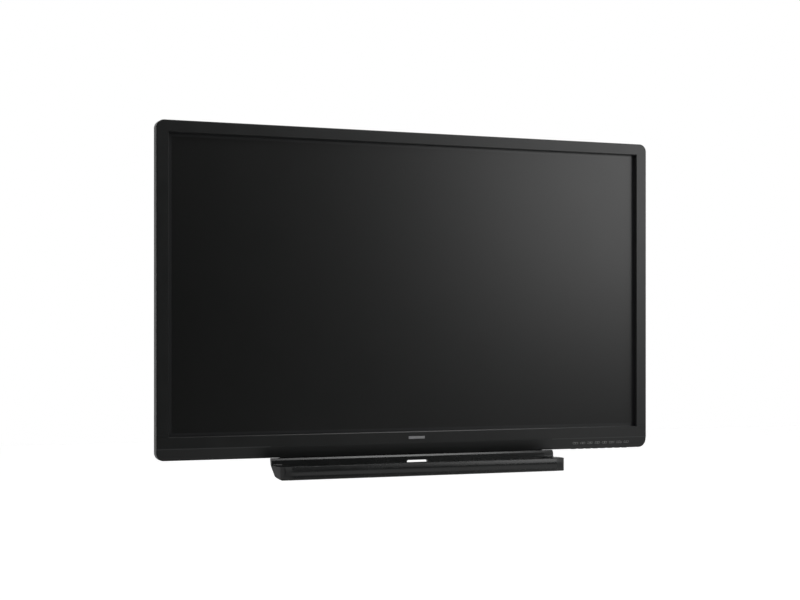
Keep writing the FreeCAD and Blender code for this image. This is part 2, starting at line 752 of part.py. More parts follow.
TOUCH_CONTROL_BOARD = (-120.0, 120.0, -160.0, 0.0)
TOUCH_COMPONENTS = [
    (80.0, 60.0, 34.0, 34.0, 4.0), (20.0, 20.0, 50.0, 12.0, 8.0), (150.0, 20.0, 50.0, 12.0, 8.0),
    (160.0, 90.0, 20.0, 20.0, 10.0)]
TIMING_BOARD = (-170.0, 170.0, 345.0, 410.0)
TIMING_COMPONENTS = [
    (140.0, 20.0, 30.0, 30.0, 4.0), (30.0, 6.0, 70.0, 8.0, 6.0), (230.0, 6.0, 70.0, 8.0, 6.0),
    (60.0, 35.0, 18.0, 14.0, 3.0)]


def boards():
    """Each board by its name, with its front, its limits and its components.

    The main board stands further back than the others, level with the sockets on it.
    """
    main_limits = (terminal_left(), terminal_left() + TERMINAL_WIDTH, TERMINAL_TOP, MAIN_BOARD_TOP)
    return {
        "power_board": (BOARD_FRONT, POWER_BOARD, POWER_COMPONENTS),
        "main_board": (MAIN_BOARD_FRONT, main_limits, MAIN_COMPONENTS),
        "touch_control_board": (BOARD_FRONT, TOUCH_CONTROL_BOARD, TOUCH_COMPONENTS),
        "timing_board": (BOARD_FRONT, TIMING_BOARD, TIMING_COMPONENTS),
    }


def circuit_board(name):
    front, (x0, x1, z0, z1), components = boards()[name]
    back = front + BOARD_THICKNESS
    solids = [slab(x0, x1, front, back, z0, z1)]
    for x, z, width, height, depth in components:
        solids.append(slab(x0 + x, x0 + x + width, back, back + depth, z0 + z, z0 + z + height))
    return Part.makeCompound(solids)


def board_standoffs():
    solids = []
    for front, (x0, x1, z0, z1), components in boards().values():
        for x in (x0 + STANDOFF_INSET, x1 - STANDOFF_INSET):
            for z in (z0 + STANDOFF_INSET, z1 - STANDOFF_INSET):
                solids.append(post(x, z, STANDOFF_RADIUS, CHASSIS_BACK, front))
    return Part.makeCompound(solids)


def speaker_centre_z():
    return (BOTTOM + STEP_INSET + STEP_TAPER + HOUSING_BOTTOM) / 2


def speaker(side):
    """A closed box with a shallow cone that faces the grille in the cover."""
    x = side * SPEAKER_X
    z = speaker_centre_z()
    back = STEP_DEPTH - COVER_WALL - SPEAKER_CLEARANCE
    half_width = SPEAKER_WIDTH / 2
    half_height = SPEAKER_HEIGHT / 2
    box = rounded_block(
        x - half_width, x + half_width, CHASSIS_BACK, back,
        z - half_height, z + half_height, SPEAKER_RADIUS)
    cone = Part.makeCone(
        SPEAKER_CAP_RADIUS, SPEAKER_CONE_RADIUS, SPEAKER_CONE_DEPTH,
        vector(x, back - SPEAKER_CONE_DEPTH, z), FreeCAD.Vector(0, 1, 0))
    return box.cut(cone)


# Terminals

# Each socket is given by its place from the left of the terminal plate, its width and its height.
VIDEO_SOCKETS = [(20.0, 15.0, 6.0), (42.0, 15.0, 6.0), (72.0, 31.0, 12.0)]
DATA_SOCKETS = [(110.0, 13.0, 7.0), (130.0, 13.0, 7.0), (156.0, 16.0, 13.5), (188.0, 31.0, 12.0)]
AUDIO_SOCKETS = [(220.0, 8.0, 8.0), (238.0, 8.0, 8.0)]


def terminal_left():
    return TERMINAL_X - TERMINAL_WIDTH / 2


def socket_limits(centre, width, height, growth):
    x = terminal_left() + centre
    return (
        x - width / 2 - growth, x + width / 2 + growth,
        TERMINAL_DEPTH - growth, TERMINAL_DEPTH + height + growth)


def box_socket(centre, width, height):
    """A metal shell that opens downwards, standing on the main board."""
    x0, x1, front, back = socket_limits(centre, width, height, 0)
    shell = slab(x0, x1, front, back, HOUSING_BOTTOM, HOUSING_BOTTOM + SOCKET_DEPTH)
    hollow = slab(
        x0 + SOCKET_SHELL, x1 - SOCKET_SHELL, front + SOCKET_SHELL, back - SOCKET_SHELL,
        HOUSING_BOTTOM - PAST, HOUSING_BOTTOM + SOCKET_HOLLOW)
    return shell.cut(hollow)


def round_socket(centre, width, height):
    """A plastic block with a round bore from below, standing on the main board."""
    x0, x1, front, back = socket_limits(centre, width, height, 0)
    body = slab(x0, x1, front, back, HOUSING_BOTTOM, HOUSING_BOTTOM + SOCKET_DEPTH)
    bore = upright(
        (x0 + x1) / 2, (front + back) / 2, AUDIO_BORE_RADIUS,
        HOUSING_BOTTOM - PAST, HOUSING_BOTTOM + AUDIO_BORE_DEPTH)
    return body.cut(bore)


def sockets(rows, make):
    return Part.makeCompound([make(centre, width, height) for centre, width, height in rows])


def terminal_plate():
    """The steel plate behind the window of the cover, with a hole for each socket."""
    left = terminal_left()
    plate = slab(
        left - TERMINAL_FLANGE, left + TERMINAL_WIDTH + TERMINAL_FLANGE,
        CHASSIS_BACK, STEP_DEPTH + TERMINAL_HEIGHT + TERMINAL_FLANGE,
        HOUSING_BOTTOM + COVER_WALL, TERMINAL_TOP)
    holes = []
    for centre, width, height in VIDEO_SOCKETS + DATA_SOCKETS + AUDIO_SOCKETS:
        limits = socket_limits(centre, width, height, SOCKET_CLEARANCE)
        holes.append(slab(*limits, HOUSING_BOTTOM, TERMINAL_TOP + PAST))
    return plate.cut(holes)


def inlet_limits(half_width, half_height):
    return (
        INLET_X - half_width, INLET_X + half_width,
        INLET_DEPTH - half_height, INLET_DEPTH + half_height)


def ac_inlet():
    """A three pin mains inlet that opens downwards."""
    half_width = INLET_WIDTH / 2
    half_height = INLET_HEIGHT / 2
    low = HOUSING_BOTTOM - INLET_FLANGE_THICKNESS
    high = HOUSING_BOTTOM + INLET_BODY
    body = slab(*inlet_limits(half_width, half_height), HOUSING_BOTTOM, high)
    flange = slab(*inlet_limits(half_width + INLET_FLANGE, half_height), low, HOUSING_BOTTOM)
    floor = high - INLET_END
    hollow = slab(*inlet_limits(half_width - INLET_WALL, half_height - INLET_WALL), low - PAST, floor)
    half_thickness = INLET_PIN_THICKNESS / 2
    half_pin = INLET_PIN_HEIGHT / 2
    pins = []
    for step in (-1, 0, 1):
        x = INLET_X + step * INLET_PIN_PITCH
        depth = INLET_DEPTH + (INLET_PIN_OFFSET if step else -INLET_PIN_OFFSET)
        pins.append(slab(
            x - half_thickness, x + half_thickness, depth - half_pin, depth + half_pin,
            floor - INLET_PIN_LENGTH, floor))
    return Part.makeCompound([joined([body, flange]).cut(hollow)] + pins)


# Mains switch

def switch_limits(growth):
    half_width = SWITCH_CAVITY_WIDTH / 2 + growth
    half_height = SWITCH_CAVITY_HEIGHT / 2 + growth
    return (
        SWITCH_X - half_width, SWITCH_X + half_width,
        INLET_DEPTH - half_height, INLET_DEPTH + half_height)


def switch_housing():
    low = HOUSING_BOTTOM - SWITCH_FLANGE_THICKNESS
    cavity_top = ROCKER_PIVOT_Z + ROCKER_HEEL + SWITCH_HEADROOM
    body = slab(*switch_limits(SWITCH_WALL), HOUSING_BOTTOM, cavity_top + SWITCH_WALL)
    flange = slab(*switch_limits(SWITCH_WALL + SWITCH_FLANGE), low, HOUSING_BOTTOM)
    cavity = slab(*switch_limits(0), low - PAST, cavity_top)
    reach = ROCKER_HEIGHT / 2 + ROCKER_PIN_REACH + PIN_CLEARANCE
    radius = ROCKER_PIN_RADIUS + PIN_CLEARANCE
    pivot = post(SWITCH_X, ROCKER_PIVOT_Z, radius, INLET_DEPTH - reach, INLET_DEPTH + reach)
    return joined([body, flange]).cut([cavity, pivot])


def switch_rocker():
    """A rocker with a shallow V face, modelled in its off position."""
    half = ROCKER_WIDTH / 2
    rise = half * math.tan(math.radians(SWITCH_TILT))
    front = INLET_DEPTH - ROCKER_HEIGHT / 2
    corners = [
        (-half, -ROCKER_FACE - rise, ROCKER_EDGE_RADIUS),
        (0.0, -ROCKER_FACE, ROCKER_VALLEY_RADIUS),
        (half, -ROCKER_FACE - rise, ROCKER_EDGE_RADIUS),
        (half, -ROCKER_SHOULDER, ROCKER_EDGE_RADIUS),
        (ROCKER_HEEL_HALF, ROCKER_HEEL, ROCKER_HEEL_RADIUS),
        (-ROCKER_HEEL_HALF, ROCKER_HEEL, ROCKER_HEEL_RADIUS),
        (-half, -ROCKER_SHOULDER, ROCKER_EDGE_RADIUS),
    ]
    outline = rounded_wire(corners, lambda x, z: vector(SWITCH_X + x, front, ROCKER_PIVOT_Z + z))
    body = Part.Face(outline).extrude(FreeCAD.Vector(0, ROCKER_HEIGHT, 0))
    reach = ROCKER_HEIGHT / 2 + ROCKER_PIN_REACH
    pin = post(SWITCH_X, ROCKER_PIVOT_Z, ROCKER_PIN_RADIUS, INLET_DEPTH - reach, INLET_DEPTH + reach)
    rocker = joined([body, pin])
    rocker.rotate(vector(SWITCH_X, INLET_DEPTH, ROCKER_PIVOT_Z), FreeCAD.Vector(0, 1, 0), SWITCH_TILT)
    return rocker


# Push keys

def push_key(x):
    """A cap below the bezel, a flange that keeps it in and a stem under its switch."""
    def part(half_width, half_depth, z0, z1):
        return slab(
            x - half_width, x + half_width,
            KEY_CENTRE_DEPTH - half_depth, KEY_CENTRE_DEPTH + half_depth, z0, z1)

    half_width = KEY_WIDTH / 2
    half_depth = KEY_DEPTH / 2
    half_flange = KEY_FLANGE / 2
    flange_top = KEY_FLANGE_BOTTOM + KEY_FLANGE_THICKNESS
    cap = part(half_width, half_depth, BOTTOM - KEY_PROUD, flange_top)
    rim = [edge for edge in cap.Edges if edge.BoundBox.ZMax < BOTTOM - KEY_PROUD / 2]
    cap = cap.makeFillet(KEY_PROUD / 2, rim)
    flange = part(half_width + half_flange, half_depth + half_flange, KEY_FLANGE_BOTTOM, flange_top)
    stem = part(KEY_STEM / 2, KEY_STEM / 2, flange_top, KEY_STEM_TOP)
    return joined([cap, flange, stem])


def key_board():
    """The board above the keys, with one switch over each stem."""
    half_depth = KEY_DEPTH / 2 + KEY_FLANGE / 2
    reach = KEY_ROW_LENGTH / 2 + KEY_STEM / 2
    board = slab(
        KEY_ROW_X - reach, KEY_ROW_X + reach, KEY_CENTRE_DEPTH - half_depth, KEY_CENTRE_DEPTH + half_depth,
        KEY_BOARD_BOTTOM, KEY_BOARD_BOTTOM + BOARD_THICKNESS)
    half = TACT_SIZE / 2
    front = KEY_CENTRE_DEPTH - half
    back = KEY_CENTRE_DEPTH + half
    switches = [
        slab(x - half, x + half, front, back, TACT_BOTTOM, KEY_BOARD_BOTTOM)
        for x in key_positions()]
    return Part.makeCompound([board] + switches)


# Rear cover

def step_outline(inset, depth, radius):
    return rectangle(LEFT + inset, RIGHT - inset, BOTTOM + inset, TOP - inset, depth, radius)


def cover_step(shrink, front, back):
    """The tapered step of the cover, or with a shrink its hollow."""
    slant = STEP_TAPER / (STEP_DEPTH - BEZEL_SKIRT)
    at_front = STEP_INSET + shrink + slant * (front - BEZEL_SKIRT)
    at_back = STEP_INSET + shrink + slant * (back - BEZEL_SKIRT)
    radius = STEP_RADIUS - shrink
    return tapered_block(step_outline(at_front, front, radius), step_outline(at_back, back, radius))


def cover_housing(shrink, front, back):
    half_width = HOUSING_WIDTH / 2 - shrink
    half_height = HOUSING_HEIGHT / 2 - shrink
    return rounded_block(
        -half_width, half_width, front, back, -half_height, half_height, HOUSING_RADIUS - shrink)


def vent_slots():
    """Two rows of slots on each side of the rails, above and below."""
    centre_x = (HOUSING_WIDTH / 2 + MOUNT_PITCH / 2 + RAIL_WIDTH / 2) / 2
    z = HOUSING_HEIGHT / 2 - VENT_EDGE - VENT_LENGTH / 2
    slots = []
    for side in (-1, 1):
        for row in (-1, 1):
            for x in spread(VENT_COUNT, VENT_PITCH):
                middle = side * centre_x + x
                slots.append(slab(
                    middle - VENT_WIDTH / 2, middle + VENT_WIDTH / 2, COVER_BACK - 2 * COVER_WALL,
                    COVER_BACK + PAST, row * z - VENT_LENGTH / 2, row * z + VENT_LENGTH / 2))
    return slots


def grille_slots():
    """Slots over each speaker cone."""
    z = speaker_centre_z()
    half = SPEAKER_CONE_RADIUS
    slots = []
    for side in (-1, 1):
        for x in spread(GRILLE_COUNT, 2 * half / GRILLE_COUNT):
            middle = side * SPEAKER_X + x
            slots.append(slab(
                middle - GRILLE_SLOT_WIDTH / 2, middle + GRILLE_SLOT_WIDTH / 2,
                STEP_DEPTH - 2 * COVER_WALL, STEP_DEPTH + PAST, z - half, z + half))
    return slots


def cover_windows():
    """Openings of the cover's lower wall for the terminals, the inlet and the switch."""
    left = terminal_left()
    low = HOUSING_BOTTOM - PAST
    high = HOUSING_BOTTOM + COVER_WALL + PAST
    clear = SOCKET_CLEARANCE
    terminals = slab(
        left, left + TERMINAL_WIDTH, STEP_DEPTH, STEP_DEPTH + TERMINAL_HEIGHT, low, high)
    inlet = slab(*inlet_limits(INLET_WIDTH / 2 + clear, INLET_HEIGHT / 2 + clear), low, high)
    switch = slab(*switch_limits(SWITCH_WALL + clear), low, high)
    return [terminals, inlet, switch]


def rear_cover():
    outer = joined([
        rounded_block(LEFT, RIGHT, BEZEL_SKIRT, FLANGE_BACK, BOTTOM, TOP, CORNER_RADIUS),
        cover_step(0, BEZEL_SKIRT, STEP_DEPTH),
        cover_housing(0, BEZEL_SKIRT, COVER_BACK)])
    inner = cover_step(COVER_WALL, BEZEL_SKIRT - PAST, STEP_DEPTH - COVER_WALL)
    inner = inner.fuse(cover_housing(COVER_WALL, BEZEL_SKIRT - PAST, COVER_BACK - COVER_WALL))
    cover = outer.cut(inner)
    holes = [
        post(x, z, SCREW_RADIUS + SCREW_CLEARANCE, BEZEL_SKIRT - PAST, FLANGE_BACK + PAST)
        for x, z in cover_screw_points() + bracket_screw_points()]
    holes += [
        post(x, z, MOUNT_BOSS_RADIUS + MOUNT_CLEARANCE, COVER_BACK - 2 * COVER_WALL, COVER_BACK + PAST)
        for x, z in mount_points()]
    return cover.cut(holes + vent_slots() + grille_slots() + cover_windows())


def screw(x, z, head_depth):
    """A pan head screw that goes in from behind."""
    head = post(x, z, SCREW_HEAD_RADIUS, head_depth, head_depth + SCREW_HEAD)
    shank = post(x, z, SCREW_RADIUS, BEZEL_SKIRT - SCREW_BITE, head_depth)
    return joined([head, shank])


def cover_screws():
    return Part.makeCompound([screw(x, z, FLANGE_BACK) for x, z in cover_screw_points()])


def handle(side):
    """A moulded D shaped grip on the step of the cover."""
    x = side * HANDLE_X
    end = HANDLE_LENGTH / 2
    back = STEP_DEPTH + HANDLE_REACH
    grip = back - HANDLE_THICKNESS
    x0 = x - HANDLE_WIDTH / 2

    def place(z, depth):
        return vector(x0, depth, z)

    outline = [
        (-end, STEP_DEPTH, 0), (-end, back, HANDLE_RADIUS),
        (end, back, HANDLE_RADIUS), (end, STEP_DEPTH, 0)]
    gap_end = end - HANDLE_FOOT
    gap_radius = HANDLE_RADIUS / 2
    gap = [
        (-gap_end, STEP_DEPTH - PAST, 0), (-gap_end, grip, gap_radius),
        (gap_end, grip, gap_radius), (gap_end, STEP_DEPTH - PAST, 0)]
    across = FreeCAD.Vector(HANDLE_WIDTH, 0, 0)
    body = Part.Face(rounded_wire(outline, place)).extrude(across)
    return body.cut(Part.Face(rounded_wire(gap, place)).extrude(across))


# Pen tray

def tray_point(reach, drop, radius=0.0):
    """A corner of the tray's section, forward of the bezel and below it."""
    return (-reach, BOTTOM - drop, radius)


def tray_lip():
    """The corners that the tray and its ends share, from the top of the lip to the foot."""
    return [
        tray_point(TRAY_LIP_FRONT, TRAY_LIP_DROP + TRAY_LIP_FALL, TRAY_LIP_RADIUS),
        tray_point(TRAY_REACH, TRAY_NOSE_DROP, TRAY_NOSE_RADIUS),
        tray_point(TRAY_FOOT_REACH, TRAY_DROP, TRAY_FOOT_RADIUS),
    ]


def tray_ledge_edge():
    """The front edge of the ledge, cut off by a bevel that catches the light."""
    return [
        tray_point(TRAY_LEDGE_FRONT, TRAY_GAP),
        tray_point(TRAY_LEDGE_FRONT + TRAY_BEVEL_REACH, TRAY_GAP + TRAY_BEVEL_DROP),
    ]


def tray_section():
    """The corners of the bar: trough, lip, underside, flange, and a rib up to the bezel."""
    return [
        tray_point(TRAY_TROUGH_BACK, TRAY_TROUGH_DROP, TRAY_TROUGH_RADIUS),
        tray_point(TRAY_TROUGH_FRONT, TRAY_TROUGH_DROP + TRAY_TROUGH_FALL, TRAY_TROUGH_RADIUS),
        tray_point(TRAY_LIP_BACK, TRAY_LIP_DROP, TRAY_EDGE_RADIUS),
    ] + tray_lip() + [
        tray_point(TRAY_KEEL_REACH, TRAY_KEEL_DROP, TRAY_KEEL_RADIUS),
        tray_point(-TRAY_LEDGE_BACK, TRAY_GAP + TRAY_WALL, TRAY_BACK_RADIUS),
        tray_point(-TRAY_FLANGE_BACK, TRAY_GAP + TRAY_WALL),
        tray_point(-TRAY_FLANGE_BACK, TRAY_GAP),
        tray_point(-TRAY_RIB_FRONT - TRAY_RIB, TRAY_GAP),
        tray_point(-TRAY_RIB_FRONT - TRAY_RIB, TRAY_CLEARANCE),
        tray_point(-TRAY_RIB_FRONT, TRAY_CLEARANCE),
        tray_point(-TRAY_RIB_FRONT, TRAY_GAP),
    ] + tray_ledge_edge()


def line_crossing(a, direction_a, b, direction_b):
    cross = direction_a[0] * direction_b[1] - direction_a[1] * direction_b[0]
    share = ((b[0] - a[0]) * direction_b[1] - (b[1] - a[1]) * direction_b[0]) / cross
    return (a[0] + direction_a[0] * share, a[1] + direction_a[1] * share)


def inset_polygon(corners, wall):
    """The polygon whose sides lie one wall inside those of a convex one."""
    middle_u = sum(corner[0] for corner in corners) / len(corners)
    middle_v = sum(corner[1] for corner in corners) / len(corners)
    sides = []
    for index, corner in enumerate(corners):
        following = corners[(index + 1) % len(corners)]
        du = following[0] - corner[0]
        dv = following[1] - corner[1]
        length = math.hypot(du, dv)
        normal = (-dv / length, du / length)
        inward = (middle_u - corner[0]) * normal[0] + (middle_v - corner[1]) * normal[1]
        shift = math.copysign(wall, inward)
        sides.append(((corner[0] + normal[0] * shift, corner[1] + normal[1] * shift), (du, dv)))
    return [
        line_crossing(*sides[index - 1], *sides[index])
        for index in range(len(sides))]


def tray_hollows(x0, x1):
    """The space inside the wall of the tray and the space inside its lip."""
    lip_back = TRAY_TROUGH_FRONT - TRAY_WALL
    share = (lip_back - TRAY_KEEL_REACH) / (TRAY_FOOT_REACH - TRAY_KEEL_REACH)
    floor_drop = TRAY_KEEL_DROP + share * (TRAY_DROP - TRAY_KEEL_DROP)
    back = [
        tray_point(-TRAY_LEDGE_BACK, TRAY_GAP), *tray_ledge_edge(),
        tray_point(TRAY_TROUGH_BACK, TRAY_TROUGH_DROP),
        tray_point(TRAY_KEEL_REACH, TRAY_TROUGH_DROP)]
    lip = [
        tray_point(TRAY_LIP_BACK, TRAY_LIP_DROP),
        tray_point(TRAY_LIP_FRONT, TRAY_LIP_DROP + TRAY_LIP_FALL),
        tray_point(TRAY_REACH, TRAY_NOSE_DROP, TRAY_NOSE_RADIUS - TRAY_WALL),
        tray_point(TRAY_FOOT_REACH, TRAY_DROP),
        tray_point(lip_back, floor_drop)]
    hollows = []
    for corners in (back, lip):
        inner = inset_polygon([corner[:2] for corner in corners], TRAY_WALL)
        rounded = [
            (u, v, max(corner[2], TRAY_HOLLOW_RADIUS))
            for (u, v), corner in zip(inner, corners)]
        hollows.append(section_bar(rounded, x0, x1))
    return hollows


def tray_slot(growth):
    """The cable slot through the back of the tray, with its upper corners cut off."""
    half = SLOT_WIDTH / 2 + growth
    top = BOTTOM - SLOT_TOP + growth
    low = BOTTOM - SLOT_TOP - SLOT_HEIGHT - growth
    corners = [
        (-half, low, 0), (half, low, 0), (half, top - SLOT_CHAMFER, 0), (half - SLOT_CHAMFER, top, 0),
        (-half + SLOT_CHAMFER, top, 0), (-half, top - SLOT_CHAMFER, 0)]
    outline = rounded_wire(corners, lambda x, z: vector(x, -TRAY_TROUGH_FRONT, z))
    return Part.Face(outline).extrude(FreeCAD.Vector(0, TRAY_TROUGH_FRONT + DEPTH, 0))


def pen_tray():
    """A hollow extruded bar with a trough between the ledge and the lip."""
    half = TRAY_LENGTH / 2 - TRAY_END
    bar = section_bar(tray_section(), -half, half)
    sleeve = tray_slot(TRAY_WALL)
    hollows = [hollow.cut(sleeve) for hollow in tray_hollows(-half - PAST, half + PAST)]
    bar = bar.cut(hollows).cut(tray_slot(0))
    radius = SCREW_RADIUS + SCREW_CLEARANCE
    holes = [
        upright(x, BRACKET_SCREW_DEPTH, radius, BOTTOM - TRAY_GAP - 2 * TRAY_WALL, BOTTOM)
        for x in bracket_screw_centres()]
    return bar.cut(holes)


def tray_end(side):
    """A moulded end: a plate that closes the bar, and a body that curves back in plan."""
    corners = [
        tray_point(TRAY_TROUGH_BACK, TRAY_END_STEP, TRAY_END_EDGE_RADIUS),
        tray_point(TRAY_LIP_BACK, TRAY_LIP_DROP, TRAY_END_EDGE_RADIUS),
    ] + tray_lip() + [
        tray_point(TRAY_END_KEEL_REACH, TRAY_END_KEEL_DROP, TRAY_KEEL_RADIUS),
        tray_point(TRAY_END_WAIST_REACH, TRAY_END_STEP, TRAY_KEEL_RADIUS),
        tray_point(-TRAY_LEDGE_BACK, TRAY_GAP + TRAY_WALL, TRAY_BACK_RADIUS),
        tray_point(-TRAY_LEDGE_BACK, TRAY_CLEARANCE, TRAY_BACK_RADIUS),
        tray_point(TRAY_LEDGE_FRONT, TRAY_CLEARANCE),
    ] + tray_ledge_edge()
    inner = TRAY_LENGTH / 2 - TRAY_END
    outer = TRAY_LENGTH / 2
    bar = section_bar(corners, inner, outer)
    plan = [
        (inner - PAST, -TRAY_REACH, 0), (outer - TRAY_END_SLANT, -TRAY_REACH, TRAY_END_RADIUS),
        (outer, -TRAY_END_FLAT, TRAY_END_BEND_RADIUS),
        (outer, TRAY_LEDGE_BACK + PAST, 0), (inner - PAST, TRAY_LEDGE_BACK + PAST, 0)]
    low = BOTTOM - TRAY_DROP
    outline = rounded_wire(plan, lambda x, depth: vector(x, depth, low - PAST))
    body = bar.common(Part.Face(outline).extrude(FreeCAD.Vector(0, 0, TRAY_DROP + PAST)))
    lip_top = BOTTOM - TRAY_LIP_DROP
    front_view = [
        (inner - PAST, low, 0), (outer, low, TRAY_END_SOLE_RADIUS),
        (outer, lip_top, TRAY_END_CROWN_RADIUS), (inner - PAST, lip_top, 0)]
    outline = rounded_wire(front_view, lambda x, z: vector(x, -TRAY_REACH - PAST, z))
    past_wall = TRAY_REACH + PAST - TRAY_TROUGH_BACK
    rounding = Part.Face(outline).extrude(FreeCAD.Vector(0, past_wall, 0))
    wall = slab(inner - PAST, outer + PAST, -TRAY_TROUGH_BACK, TRAY_LEDGE_BACK + PAST, low - PAST, BOTTOM)
    body = body.common(joined([rounding, wall]))
    end = joined([section_bar(tray_section(), inner, inner + TRAY_WALL), body])
    if side < 0:
        return end.mirror(FreeCAD.Vector(0, 0, 0), FreeCAD.Vector(1, 0, 0))
    return end


def tray_bracket(x):
    """An angle bracket from the back of the bezel to under the flange of the tray."""
    half = BRACKET_WIDTH / 2
    back = FLANGE_BACK + BRACKET_THICKNESS
    arm_top = BOTTOM - TRAY_GAP - TRAY_WALL
    arm_bottom = arm_top - BRACKET_THICKNESS
    arm = slab(x - half, x + half, BRACKET_ARM_FRONT, back, arm_bottom, arm_top)
    leg = slab(x - half, x + half, FLANGE_BACK, back, arm_bottom, BOTTOM + BRACKET_LEG)
    radius = SCREW_RADIUS + SCREW_CLEARANCE
    holes = []
    for dx in spread(2, BRACKET_SCREW_PITCH):
        holes.append(post(x + dx, BOTTOM + SCREW_INSET, radius, FLANGE_BACK - PAST, back + PAST))
        holes.append(upright(x + dx, BRACKET_SCREW_DEPTH, radius, arm_bottom - PAST, arm_top + PAST))
    return joined([arm, leg]).cut(holes)


def tray_screws():
    """Two screws into each leg from behind and two into each arm from below."""
    back = FLANGE_BACK + BRACKET_THICKNESS
    arm_bottom = BOTTOM - TRAY_GAP - TRAY_WALL - BRACKET_THICKNESS
    solids = [screw(x, z, back) for x, z in bracket_screw_points()]
    for x in bracket_screw_centres():
        head = upright(x, BRACKET_SCREW_DEPTH, SCREW_HEAD_RADIUS, arm_bottom - SCREW_HEAD, arm_bottom)
        shank = upright(x, BRACKET_SCREW_DEPTH, SCREW_RADIUS, arm_bottom, BOTTOM - TRAY_GAP)
        solids.append(joined([head, shank]))
    return Part.makeCompound(solids)


def build():
    """Every piece by its name."""
    upper, lower = front_frames(bezel())
    parts = {"front_frame_upper": upper, "front_frame_lower": lower, "name_plate": name_plate()}
    for side in ("top", "bottom", "left", "right"):
        parts["touch_filter_" + side] = touch_filter(side)
        parts["touch_board_" + side] = touch_board(side)
    parts["protective_glass"] = protective_glass()
    parts["glass_gasket"] = glass_gasket()
    parts["module_front_frame"] = module_front_frame()
    parts["lcd_cell"] = lcd_cell()
    parts["mid_frame"] = mid_frame()
    parts["optical_sheets"] = optical_sheets()
    parts["light_guide_plate"] = light_guide_plate()
    parts["reflector_sheet"] = reflector_sheet()
    parts["led_bar_left"] = led_bar("left")
    parts["led_bar_right"] = led_bar("right")
    parts["panel_chassis"] = panel_chassis()
    parts["mount_rail_left"] = mount_rail(-MOUNT_PITCH / 2)
    parts["mount_rail_right"] = mount_rail(MOUNT_PITCH / 2)
    parts["mount_bosses"] = mount_bosses()
    brace_z = RAIL_LENGTH / 2 - BRACE_INSET
    parts["cross_brace_upper"] = cross_brace(brace_z)
    parts["cross_brace_lower"] = cross_brace(-brace_z)
    for name in boards():
        parts[name] = circuit_board(name)
    parts["board_standoffs"] = board_standoffs()
    parts["speaker_left"] = speaker(-1)
    parts["speaker_right"] = speaker(1)
    parts["terminal_plate"] = terminal_plate()
    parts["video_sockets"] = sockets(VIDEO_SOCKETS, box_socket)
    parts["data_sockets"] = sockets(DATA_SOCKETS, box_socket)
    parts["audio_sockets"] = sockets(AUDIO_SOCKETS, round_socket)
    parts["ac_inlet"] = ac_inlet()
    parts["switch_housing"] = switch_housing()
    parts["switch_rocker"] = switch_rocker()
    for name, x in zip(KEY_NAMES, key_positions()):
        parts["key_" + name] = push_key(x)
    parts["key_board"] = key_board()
    parts["rear_cover"] = rear_cover()
    parts["cover_screws"] = cover_screws()
    parts["handle_left"] = handle(-1)
    parts["handle_right"] = handle(1)
    parts["pen_tray"] = pen_tray()
    parts["tray_end_left"] = tray_end(-1)
    parts["tray_end_right"] = tray_end(1)
    parts["tray_brackets"] = Part.makeCompound([tray_bracket(-BRACKET_X), tray_bracket(BRACKET_X)])
    parts["tray_screws"] = tray_screws()
    return parts


os.makedirs("parts", exist_ok=True)
for name, shape in build().items():
    shape.exportStep("parts/" + name + ".step")
    box = shape.BoundBox
    print(
        name, "solids", len(shape.Solids), "valid", shape.isValid(),
        "volume cm3", round(shape.Volume / 1000, 2),
        "size", round(box.XLength, 1), round(box.YLength, 1), round(box.ZLength, 1))
print("outline", round(WIDTH, 1), round(HEIGHT, 1), "depth", DEPTH)
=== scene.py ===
# %% [markdown]
# # A wall display with a pen tray, dressed for a studio picture
#
# The object is a large flat display: a satin black bezel round a dark, softly reflecting
# screen, with a hollow pen tray hung under it. Its solid pieces come from a CAD model, so
# the shapes are already right. This lesson gives every piece its finish, adds the thin
# printed marks that a solid model leaves out, and builds the light that makes a black
# object readable on a white page.

# %% Load the model
import json
import math

import bpy
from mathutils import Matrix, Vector


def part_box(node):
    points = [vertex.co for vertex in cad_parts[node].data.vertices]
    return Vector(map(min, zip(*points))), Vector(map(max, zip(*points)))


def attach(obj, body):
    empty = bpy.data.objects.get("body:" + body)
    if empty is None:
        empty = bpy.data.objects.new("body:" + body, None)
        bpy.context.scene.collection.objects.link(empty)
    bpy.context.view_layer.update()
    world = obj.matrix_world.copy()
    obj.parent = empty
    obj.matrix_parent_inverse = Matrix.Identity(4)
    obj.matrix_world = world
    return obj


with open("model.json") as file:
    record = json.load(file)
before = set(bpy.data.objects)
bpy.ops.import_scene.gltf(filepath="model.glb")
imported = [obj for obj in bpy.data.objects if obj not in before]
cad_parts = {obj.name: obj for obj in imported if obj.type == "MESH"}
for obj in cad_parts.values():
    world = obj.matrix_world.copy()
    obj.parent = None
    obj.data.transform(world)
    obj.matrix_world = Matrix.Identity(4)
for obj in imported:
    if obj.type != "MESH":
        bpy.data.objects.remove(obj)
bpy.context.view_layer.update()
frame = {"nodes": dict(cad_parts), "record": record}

MM = 0.001

# %% [markdown]
# ## The camera
#
# The picture was taken from the left, a little above the tray, with a longish lens, and the
# uprights of the display stay upright in it. A camera that is level and is only turned about
# the vertical gives that. To move the object up or down in the frame without tilting the
# camera, its sensor is shifted, as on a view camera. Tilting would have been simpler, but
# then the left and right sides would lean together.

# %% Camera
IMAGE_WIDTH = 800
SENSOR_WIDTH = 36.0
FOCAL_PIXELS = 1597.0
TURN = 22.35
HORIZON_BELOW_CENTRE = 36.8
CAMERA_PLACE = (-1.928, -4.669, -0.135)

